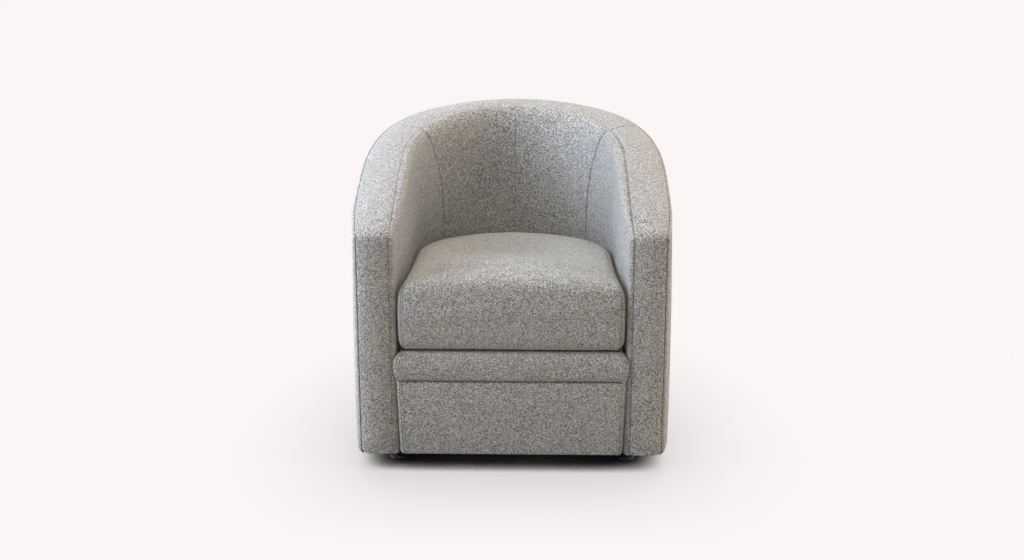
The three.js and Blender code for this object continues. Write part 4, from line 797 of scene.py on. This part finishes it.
def cushion_outline(step):
    """Plan of the cushion from the middle of its front, round the right side, to the middle of its rear."""
    side = wall(np.append(np.arange(24, RUN, step), RUN), -CUSHION_GAP, CUSHION_MIDDLE_Z)[:, :2]
    centre_x, centre_y = side[0, 0] - CUSHION_CORNER, CUSHION_FRONT_Y + CUSHION_CORNER
    angle = np.linspace(-math.pi / 2, 0, int(31 / step) + 1)
    corner = stacked(centre_x + CUSHION_CORNER * np.cos(angle), centre_y + CUSHION_CORNER * np.sin(angle))
    front = stacked(np.linspace(0, centre_x, int(centre_x / step) + 1), CUSHION_FRONT_Y)
    return np.vstack([front, corner[1:], side[1:]])


HALF_PLAN = cushion_outline(5.0)
HALF_LENGTHS = lengths_along(HALF_PLAN)
PLAN_LENGTH = HALF_LENGTHS[-1]


def plan_at(length):
    """Point and outward normal of the cushion's plan at a length round it; the left side is negative."""
    along = np.abs(length)
    flip = stacked(np.where(length < 0, -1.0, 1.0), 1.0)
    point, after, before = (read_line(np.clip(along + step, 0, PLAN_LENGTH), HALF_LENGTHS, HALF_PLAN)
                            for step in (0, 6, -6))
    d = unit(after - before)
    normal = stacked(d[..., 1], -d[..., 0])
    middle = (along < 1e-6) | (along > PLAN_LENGTH - 1e-6)
    normal[middle] = np.where(along[middle, None] < 1, [0, -1], [0, 1])
    return point * flip, normal * flip


# Middle of the underside to middle of the top: inset in mm, share of the way in, share of the height
UNDERSIDE = [[28, 1.0, 0], [28, 0.8, 0], [28, 0.5, 0], [28, 0.25, 0], [28, 0.1, 0], [28, 0, 0], [15, 0, 0.014],
             [7, 0, 0.05], [2.2, 0, 0.11], [0.2, 0, 0.2], [0, 0, 0.38]]
SIDES_AND_REAR = [[0, 0, 0.6], [0.3, 0, 0.73], [2, 0, 0.82], [6, 0, 0.89], [12, 0, 0.94], [19, 0.03, 0.97],
                  [23, 0.13, 0.99], [24, 0.32, 1.003], [24, 0.55, 1.015], [24, 0.8, 1.026], [24, 1.0, 1.03]]
FRONT_ROLL = [[0, 0, 0.53], [0.5, 0, 0.7], [2.5, 0, 0.84], [8, 0, 0.92], [16, 0.01, 0.97], [23, 0.04, 1.003],
              [24, 0.11, 1.028], [24, 0.21, 1.045], [24, 0.32, 1.052], [24, 0.52, 1.045], [24, 1.0, 1.03]]
PROFILE_LAST = len(UNDERSIDE + FRONT_ROLL) - 1
PROFILE_STEPS = 421
PROFILE_ROWS = np.linspace(0, PROFILE_LAST, PROFILE_STEPS)
SMOOTHED_OVER = 8               # steps on both sides


def soft_profile(table):
    """A profile table read at PROFILE_ROWS and smoothed."""
    fine = np.stack([np.interp(PROFILE_ROWS, np.arange(len(table)), c) for c in np.array(table).T], 1)
    for _ in range(3):
        widened = np.pad(fine, ((SMOOTHED_OVER, SMOOTHED_OVER), (0, 0)), mode="edge")
        fine = np.mean([widened[i:i + PROFILE_STEPS] for i in range(2 * SMOOTHED_OVER + 1)], axis=0)
    return fine


SIDE_PROFILE, FRONT_PROFILE = soft_profile(UNDERSIDE + SIDES_AND_REAR), soft_profile(UNDERSIDE + FRONT_ROLL)
AHEAD, BEHIND = 293, 295        # from the cushion's centre to its front and rear
REAR_SLOPE = 16                 # the top falls this much towards the rear
CROWN_RISE = 17                 # and rises this much to a crown in front, over this half width
CROWN_HALF = 262
SHRINK = 5.0                    # the cage that the cloth fills is smaller by this all round


def cushion_surface(length, t, shrink):
    """Points of the boxed cushion, smaller by shrink all round; t runs up the profile table."""
    plan, normal = plan_at(length)
    front = smooth_step(-200, -385, plan[..., 1])
    inset, middle, rise = (np.interp(t, PROFILE_ROWS, SIDE_PROFILE[:, k]) * (1 - front)
                           + np.interp(t, PROFILE_ROWS, FRONT_PROFILE[:, k]) * front for k in range(3))
    q = plan - normal * (inset + shrink)[..., None]
    q = q + (CUSHION_CENTRE - q) * middle[..., None]
    from_centre = q[..., 1] - CUSHION_CENTRE[1]
    ahead, behind = np.clip(-from_centre / AHEAD, 0, 1), np.clip(from_centre / BEHIND, 0, 1)
    bulge = 3 * np.sin(math.pi * np.clip(rise, 0, 1)) * smooth_step(0.88, 0.98, ahead)
    across = np.clip(1 - np.abs(q[..., 0] / CROWN_HALF) ** 2.6, 0, 1)
    z = CUSHION_BOTTOM_Z + rise * (CUSHION_TOP_Z - CUSHION_BOTTOM_Z) - REAR_SLOPE * rise * behind ** 1.3
    z += CROWN_RISE * rise ** 2 * smooth_step(0, 0.7, ahead) * across
    return stacked(q[..., 0], q[..., 1] - bulge, z + shrink * (1 - 2 * rise))


def cushion_skin(name, length_step, t, shrink):
    """The cushion as one closed skin."""
    grid = np.meshgrid(np.arange(-PLAN_LENGTH, PLAN_LENGTH - 4, length_step), t, indexing="ij")
    return ring_body(name, cushion_surface(*grid, shrink))


def filled(cage, voxel, pressure, cap, frames):
    """Remeshes a slack cover evenly and blows it up as cloth, with no point moving further than cap."""
    remesh = cage.modifiers.new("even", "REMESH")
    remesh.mode = "VOXEL"
    remesh.voxel_size = voxel * MM
    bpy.context.view_layer.objects.active = cage
    bpy.ops.object.modifier_apply(modifier="even")
    rest = np.array([v.co for v in cage.data.vertices])
    cloth = cage.modifiers.new("fill", "CLOTH")
    cloth.settings.use_pressure = True
    cloth.settings.uniform_pressure_force = pressure
    cloth.settings.effector_weights.gravity = 0
    cloth.settings.quality = 5
    cloth.collision_settings.use_collision = False
    scene = bpy.context.scene
    for number in range(1, frames + 1):
        scene.frame_set(number)
    bpy.ops.object.modifier_apply(modifier="fill")
    scene.frame_set(1)
    moved = np.array([v.co for v in cage.data.vertices]) - rest
    far = np.linalg.norm(moved, axis=1, keepdims=True)
    rest += moved * np.minimum(1, cap * MM / np.maximum(far, 1e-9))
    cage.data.vertices.foreach_set("co", rest.ravel().astype(np.float32))
    cage.data.update()


def grid_normals(grid, inside):
    """Normals of a grid of points, outward from a point inside it."""
    out = unit(np.cross(np.gradient(grid, axis=0), np.gradient(grid, axis=1)))
    middle = (len(grid) // 2, grid.shape[1] // 2)
    return -out if out[middle].dot(grid[middle] - inside) < 0 else out


def swelling(cage, base, out):
    """How far the cloth stands off the cage: kept clear of the arms, free to swell in front and on top."""
    tree = BVHTree.FromPolygons([v.co.copy() for v in cage.data.vertices],
                                [tuple(p.vertices) for p in cage.data.polygons])
    inward, reach = 20, 60
    swelled = np.zeros(base.shape[:2])
    for place in np.ndindex(swelled.shape):
        start = Vector((base[place] - out[place] * inward) * MM)
        hit, _, _, far = tree.ray_cast(start, Vector(out[place]), reach * MM)
        swelled[place] = 0 if hit is None else far / MM - inward
    ahead, up = np.clip(-out[..., 1], 0, 1) ** 2, np.clip(out[..., 2], 0, 1) ** 2
    swelled = np.clip(swelled, SHRINK - 1, SHRINK + 1.5 + 5 * ahead * (1 - up) + 1.5 * up)
    for _ in range(6):
        wide = np.pad(swelled, ((1, 1), (1, 1)), mode="edge")
        swelled = (wide[:-2, 1:-1] + wide[2:, 1:-1] + wide[1:-1, :-2] + wide[1:-1, 2:] + 2 * swelled) / 6
    return swelled


def cushion():
    """The filled cover, read off the cloth onto an even grid so that seams can be pressed into it."""
    cage = cushion_skin("cushion_cage", 8.0, np.linspace(0, PROFILE_LAST, 70)[1:-1], SHRINK)
    filled(cage, voxel=6, pressure=4.0, cap=22, frames=20)
    near = np.array([0, 0.5, 1.2, 2, 3, 4.2, 5, 5.6, 6.2, 7.4, 9, 14])
    half = merged(CORNER_SEAM + near, CORNER_SEAM - near, np.arange(0, CORNER_SEAM - 16, 6.0),
                  np.arange(CORNER_SEAM + 18, PLAN_LENGTH, 6.0), [PLAN_LENGTH])
    half = np.unique(np.round(half, 3))
    seam_rows = TOP_SEAM_ROW + np.array([-0.8, -0.4, -0.2, -0.1, 0, 0.1, 0.2, 0.4, 0.7])
    t = merged(np.linspace(0.6, PROFILE_LAST - 0.3, 92), [5.5, 6.2, 6.6], seam_rows)
    lengths, t = np.meshgrid(np.concatenate([-half[::-1][:-1], half[:-1]]), t, indexing="ij")
    base = cushion_surface(lengths, t, SHRINK)
    out = grid_normals(base, np.array([0, -100, 390]))
    swelled = swelling(cage, base, out)
    bpy.data.objects.remove(cage)
    # Distances to the sewn seams at the front corners and along the top of the sides
    side, above = np.abs(lengths), (t - TOP_SEAM_ROW) * 12
    to_corner = np.where(t < TOP_SEAM_ROW, side - CORNER_SEAM, np.hypot(side - CORNER_SEAM, np.maximum(above, 0)))
    to_top = np.where(side > CORNER_SEAM, above, np.hypot(side - CORNER_SEAM, above))
    distance = np.where(np.abs(to_corner) < np.abs(to_top), to_corner, to_top)
    stitch = np.where(t < TOP_SEAM_ROW, side - CORNER_SEAM + 5.6, 99.0)
    swell = 1.1 * unevenness(base, 130, 4.4) + 0.4 * unevenness(base, 55, 9.1)
    swell = swell * np.where(side > CORNER_SEAM, 0.5, 1)
    # The rear is pressed flat where the zip's tape lies
    beside_zip = smooth_step(PLAN_LENGTH - 215, PLAN_LENGTH - 190, side)
    at_zip = (1 - smooth_step(7, 15, np.abs(base[..., 2] - ZIP_Z))) * beside_zip
    swelled = swelled * (1 - at_zip) + (SHRINK - 2.2) * at_zip
    pressed = groove(distance, 1.6, 1.5, 0.4) + groove(stitch, 0.6, 1.1, 0.15) - swell * (1 - at_zip)
    found = base + out * (swelled - pressed)[..., None]
    found[..., 2] = np.maximum(found[..., 2], CUSHION_BOTTOM_Z)
    found[..., 1] = np.maximum(found[..., 1], CUSHION_FRONT_Y - 10)
    along = lengths_up(found)
    # The front and the top are one piece of cloth; the sides are others
    flat_row = np.searchsorted(t[0], TOP_SEAM_ROW + 3)
    front = len(lengths) // 2
    flat_start = along[front, flat_row] - found[front, flat_row, 1]
    on_top = t > np.where(side < CORNER_SEAM, t[0, flat_row], TOP_SEAM_ROW)
    u = np.where(on_top | (side < CORNER_SEAM), found[..., 0], lengths)
    v = np.where(on_top, found[..., 1] + flat_start, along)
    return ring_body("cushion_cover_fabric", found, stacked(u, v).reshape(-1, 2),
                     seam_shade(distance) + 0.45 * seam_shade(stitch))


dress(cushion(), "cushion", tweed, "grey_upholstery", "cushion_cover", fill=0.9)
foam_core = cushion_skin("cushion_foam_core", 9.0, np.linspace(0.6, PROFILE_LAST - 0.3, 48), 7.5)
dress(foam_core, "cushion", foam, "seat_foam", "cushion_foam", fill=1.0)


def zip_fastener():
    """Zip along the rear of the cover: woven tape with a coil of teeth down its middle."""
    half_length, tape, tooth_rows = 188, 3.4, 2.3
    runs = spaced(RUN - half_length, RUN + half_length, 2.0)
    rows = np.array([-6, -5.4, -2.6, -2.2, -1.4, -0.3, 0.3, 1.4, 2.2, 2.6, 5.4, 6])
    rise = np.array([0, 0.5, 0.5, 0.9, 1.7, 0.9, 0.9, 1.7, 0.9, 0.5, 0.5, 0])
    tooth = 0.25 * np.cos(runs * math.pi)[:, None] * (np.abs(rows) < tooth_rows)
    run, height = np.meshgrid(runs, rows, indexing="ij")
    skin = wall(run, -CUSHION_GAP - tape + 0.8 + rise + tooth, ZIP_Z + height)
    core = wall(run, -CUSHION_GAP - tape, ZIP_Z + height)
    return padded_sheet("cushion_zip_tape", skin, core, stacked(run, height), 0 * run)


dress(zip_fastener(), "cushion", lining, "zip_tape", "cushion_zip")

# ---- deck, dust cover, springs and glides

def seat_deck():
    """Padded decking over the seat springs, with two lines of stitching across it."""
    front_y, low_z, stitch_ys = -311, 302.3, (-190, 30)
    side = wall(np.concatenate([[52], np.arange(74, RUN, 9), [RUN]]), -1.5, CUSHION_MIDDLE_Z)[:, :2]
    half = np.vstack([stacked(np.linspace(0, side[0, 0], 24), front_y), side[side[:, 1] > front_y + 2]])
    plan = whole(half)
    shares = np.array([0.02, 0.2, 0.4, 0.6, 0.75, 0.86, 0.94, 0.975, 0.992, 1.0])
    centre = np.array([0, -70.0])
    low = centre + (plan[:, None] - centre) * shares[:, None]
    top = low[:, ::-1]
    rounding = np.array([1.8, 0.5] + [0] * (len(shares) - 2))
    stitches = np.min([np.abs(top[..., 1] - y) for y in stitch_ys], axis=0)
    z_top = DECK_TOP_Z - rounding - 1.2 * np.exp(-(stitches / 5) ** 2) * (rounding == 0)
    grid = np.hstack([np.dstack([low, np.full_like(z_top, low_z)]), np.dstack([top, z_top])])
    shade = seam_shade(np.hstack([0 * z_top, stitches]))
    return ring_body("seat_deck_pad", grid, grid[..., :2].reshape(-1, 2), shade)


dress(seat_deck(), "seat_body", lining, "black_lining", "seat_deck", fill=0.7)

RING_MIDDLE_Z = 65.5            # the dust cover's edge follows the bottom ring's outline at this height
CLOTH_INSET = 8                 # in from the outside, all round but the front
CLOTH_FRONT_Y = -360
CLOTH_LOW_Z, CLOTH_HIGH_Z = 58.6, 59.4
STAPLE_INSET = 22
STAPLE_FRONT_Y = -352
STAPLE_PITCH = 60


def area(half):
    """Area of an outline from its right half."""
    x, y = whole(half).T
    return 0.5 * abs(np.dot(x, np.roll(y, -1)) - np.dot(y, np.roll(x, -1)))


def dust_cover():
    """Thin black cloth stapled under the frame, with an opening for the mechanism; it sags between staples."""
    runs = np.concatenate([[22], np.arange(40, RUN, 12), [RUN]])
    side = wall(runs, CLOTH_INSET, RING_MIDDLE_Z, True)[:, :2]
    half = np.vstack([stacked(np.linspace(0, side[0, 0], 28), CLOTH_FRONT_Y), side])
    hole_centre, hole_half, squareness = np.array([0, -40]), np.array([191, 181]), 7
    ahead = unit(half - hole_centre)
    reach = np.sum(np.abs(ahead / hole_half) ** squareness, axis=1, keepdims=True) ** (-1 / squareness)
    hole = hole_centre + ahead * reach
    plan, inner = whole(half), whole(hole)
    t = np.array([0, 0.03, 0.08, 0.15, 0.25, 0.4, 0.55, 0.7, 0.82, 0.9, 0.96, 1.0])
    flat = plan[:, None] + (inner - plan)[:, None] * t[:, None]
    between = 0.5 - 0.5 * np.cos(lengths_along(plan)[:, None] * 2 * math.pi / STAPLE_PITCH)
    sag = 2.6 * np.sin(math.pi * t) ** 0.8 + 0.8 * between * (1 - t) ** 6
    grid = np.hstack([np.dstack([flat, CLOTH_LOW_Z - sag]), np.dstack([flat, CLOTH_HIGH_Z - sag])[:, ::-1]])
    uv = grid[..., :2].reshape(-1, 2)
    obj = ring_body("dust_cover_cloth", grid, uv, np.zeros(grid.shape[:2]), closed_ends=False)
    return obj, area(half) - area(hole)


def staples():
    """Wire staples that hold the dust cover to the bottom ring and the front rail."""
    half_width, wire = 5, 0.5
    across = np.array([-half_width, half_width])
    bars = [wall(run + across, STAPLE_INSET, RING_MIDDLE_Z, True)[:, :2]
            for run in np.arange(STAPLE_PITCH, 2 * RUN - 40, STAPLE_PITCH)]
    bars += [stacked(x + across, STAPLE_FRONT_Y) for x in np.arange(-250, 251, 62.5)]
    points, faces = [], []
    for a, b in bars:
        path = [[*a, 58.9], [*a, 57.9], [*b, 57.9], [*b, 58.9]]
        ring = tube(path, wire, 6)
        faces += ring_faces(*ring.shape[:2], first=len(points) * ring.size // 3)
        points.append(ring.reshape(-1, 3))
    return make_object("dust_cover_staples", np.vstack(points), faces)


cloth, cloth_area = dust_cover()
dress(cloth, "seat_body", lining, "black_lining", "dust_cover")
staple_row = dress(staples(), "seat_body", zinc, "zinc_steel")


def bevel(obj, width):
    """Worn or moulded edges; the width is in mm."""
    edge = obj.modifiers.new("edge", "BEVEL")
    edge.width = width * MM
    edge.segments = 2
    return edge


def corners(half_width, front_y, back_y):
    """Names and places of the four corners of the mechanism or the base."""
    return [(y_name + "_" + x_name, x, y) for x_name, x in (("left", -half_width), ("right", half_width))
            for y_name, y in (("front", front_y), ("back", back_y))]


def coil_spring(name, x, y):
    """A closed-end coil of round wire that holds the seat level on the yoke."""
    low, high, turns, end_turns, end_rise, radius, wire = 65.9, 105.4, 5, 0.8, 4.9, 14.2, 2.2
    turn = np.linspace(0, turns, turns * 24 + 1)
    from_end = np.minimum(turn, turns - turn)
    active = (high - low - 2 * end_rise) / (turns - 2 * end_turns)
    rise = end_rise * np.minimum(from_end / end_turns, 1) + active * np.maximum(from_end - end_turns, 0)
    z = np.where(turn < turns / 2, low + rise, high - rise)
    angle = 2 * math.pi * turn
    return ring_body(name, tube(stacked(x + radius * np.cos(angle), y + radius * np.sin(angle), z), wire, 12))


for corner, x, y in corners(102, -102, 22):
    node = "coil_spring_" + corner
    spring = coil_spring(node + "_wire", x, y)
    spring.data.materials.append(zinc)
    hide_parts(node)
    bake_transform(spring)

# Radius and height, from the rim of the foot pad to the stepped collar above
GLIDE_PROFILE = [(17, 0.6), (18, 0), (23.4, 0), (24.4, 0.5), (25, 1.6), (24.9, 3), (24.2, 5.4), (23.6, 6),
                 (23.4, 8.6), (22.6, 9.6), (21.6, 10), (9, 10)]
for corner, x, y in corners(283, -282, 202):
    node = "glide_" + corner
    angle = np.linspace(0, 2 * math.pi, 48, endpoint=False)[:, None]
    radius, z = np.array(GLIDE_PROFILE).T
    glide = ring_body(node + "_foot", stacked(x + radius * np.cos(angle), y + radius * np.sin(angle), z))
    dress(glide, "base", glide_plastic, "black_glide", node)
    bevel(glide, 0.4)

# ---- everything that keeps its CAD shape

NODE_FINISH = {
    "bottom_ring": plywood, "top_rail": plywood, "arm_rail": plywood, "arm_post": timber_z, "back_post": timber_z,
    "front_bottom_rail": timber_x, "front_seat_rail": timber_x, "back_seat_rail": timber_x,
    "side_seat_rail": timber_y, "mounting_rail": timber_x,
    "leg": black_steel, "hub_plate": black_steel, "rocker_yoke": black_steel,
    "kingpin": zinc, "ball_ring": zinc, "pivot_shaft": zinc, "rocker_bracket": zinc, "pivot_bush": bush_nylon,
    "seat_spring": zinc, "bump_stop": rubber,
}
EDGE_WIDTHS = {"leg": 0.8, "hub_plate": 0.6, "rocker_yoke": 0.6, "rocker_bracket": 0.5, "arm_post": 1.5,
               "back_post": 1.5, "side_seat_rail": 1.5, "mounting_rail": 1.5, "bump_stop": 1.0}
for name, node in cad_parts.items():
    match = max((key for key in NODE_FINISH if name.startswith(key)), key=len, default=None)
    if match is None:
        continue
    node.data.materials.clear()
    node.data.materials.append(NODE_FINISH[match])
    if match in EDGE_WIDTHS:
        worn = bevel(node, EDGE_WIDTHS[match])
        worn.limit_method = "ANGLE"
        worn.angle_limit = math.radians(40)

# ---- floor, light and camera

BACKGROUND = srgb("f8f4f3")
FLOOR_COLOUR = srgb("656365")   # what the lamps light; the rest of its brightness is its glow
FLOOR_GLOW = 0.89
FLOOR_BOUNCE = srgb("d8d4d2")   # how the chair and the lamps see it


def seen_directly(tree):
    """1 where the camera sees a surface, also in a mirror or through glass."""
    path = add(tree, "LightPath")
    mirror = add(tree, "Math", {0: path["Is Glossy Ray"], 1: path["Is Transmission Ray"]}, operation="MAXIMUM")[0]
    return add(tree, "Math", {0: path["Is Camera Ray"], 1: mirror}, operation="MAXIMUM")[0]


def plain_floor():
    """Pale studio floor: the background colour where nothing shades it. The lamps' shadow and the nearness
    of the chair darken it, and it is black close under the chair."""
    material, tree = new_material("pale_studio_floor")
    near = add(tree, "AmbientOcclusion", {"Distance": 0.4}, samples=16)["AO"]
    # Black close under the chair, and a soft shade further out
    dark = add(tree, "MapRange", {0: near, 1: 0.17, 2: 0.4})[0]
    soft = add(tree, "Math", {0: near, 1: 0.4, 2: 0.6}, operation="MULTIPLY_ADD")[0]
    cloud = add(tree, "TexNoise", {"Scale": 3.0})[0]
    open_level = add(tree, "Math", {0: cloud, 1: 0.004, 2: FLOOR_GLOW}, operation="MULTIPLY_ADD")[0]
    shaded = add(tree, "Math", {0: dark, 1: soft}, operation="MULTIPLY")[0]
    glow_level = add(tree, "Math", {0: open_level, 1: shaded}, operation="MULTIPLY")[0]
    shown = add(tree, "BsdfDiffuse", {"Color": FLOOR_COLOUR})[0]
    glow = add(tree, "Emission", {"Color": BACKGROUND, "Strength": glow_level})[0]
    both = add(tree, "AddShader", {0: shown, 1: glow})[0]
    bounce = add(tree, "BsdfDiffuse", {"Color": FLOOR_BOUNCE})[0]
    choice = add(tree, "MixShader", {0: seen_directly(tree), 1: bounce, 2: both})[0]
    add(tree, "OutputMaterial", {"Surface": choice})
    return material


bpy.ops.mesh.primitive_plane_add(size=120, location=(0, 0, 0))
floor = bpy.context.object
floor.name = "studio_floor"
floor.data.materials.append(plain_floor())

# Cool ambient light from the walls round the studio
world = bpy.data.worlds.new("studio")
bpy.context.scene.world = world
world.use_nodes = True
sky = world.node_tree
sky.nodes.clear()
heading = add(sky, "TexCoord")[0]
upward = add(sky, "SeparateXYZ", {0: heading})[2]
level = add(sky, "MapRange", {0: upward, 1: 0.1, 2: 0.5, 3: 0.56, 4: 0.0})[0]
ambient = add(sky, "Background", {"Color": srgb("dcecff"), "Strength": level})[0]
shown = add(sky, "Background", {"Color": BACKGROUND, "Strength": 1.0})[0]
choice = add(sky, "MixShader", {0: seen_directly(sky), 1: ambient, 2: shown})[0]
add(sky, "OutputWorld", {"Surface": choice})


def lamp(name, kind, energy, colour, towards):
    """A light that shines in the direction towards."""
    data = bpy.data.lights.new(name, kind)
    data.energy = energy
    data.color = srgb(colour)[:3]
    obj = in_scene(bpy.data.objects.new(name, data))
    obj.rotation_euler = Vector(towards).to_track_quat("-Z", "Y").to_euler()
    return obj


def sun(name, strength, colour, towards):
    """A broad even light from above; towards is the direction that it shines in."""
    lamp(name, "SUN", strength, colour, towards).data.angle = math.radians(40)


def softbox(name, power, colour, place, target):
    """A square soft light that lights the chair but leaves the floor to the overhead light."""
    obj = lamp(name, "AREA", power, colour, Vector(target) - Vector(place))
    obj.data.size = 1.6
    obj.location = place
    unlit = bpy.data.collections.new(name + "_lights")
    unlit.objects.link(floor)
    unlit.collection_objects[0].light_linking.link_state = "EXCLUDE"
    obj.light_linking.receiver_collection = unlit


sun("overhead_from_behind", 2.26, "fffcf8", (0, -0.35, -1))
sun("overhead_from_the_front", 0.88, "ffeee4", (0, 0.6, -1))
softbox("low_left", 88, "e4eaff", (-2.6, -0.35, 1.4), (0, 0, 0.5))
softbox("window_left", 60, "d2dcff", (-2.4, -0.6, 2.0), (0, 0, 0.5))
softbox("low_right", 38, "ffe8da", (2.6, -0.3, 1.3), (0, 0, 0.5))
softbox("rim_right", 30, "fff8f4", (1.8, 1.8, 1.8), (0, 0, 0.6))

# Fitted to the outlines of the photograph
camera = in_scene(bpy.data.objects.new("product_view", bpy.data.cameras.new("product_view")))
camera.data.sensor_width = 36
camera.data.lens = 53.43
camera.location = Vector((69.05, -3806.35, 1512.88)) * MM
target = Vector((-5.57, 0, 378.48)) * MM
camera.rotation_euler = (target - camera.location).to_track_quat("-Z", "Y").to_euler()
bpy.context.scene.camera = camera
bpy.context.scene.view_settings.view_transform = "Standard"
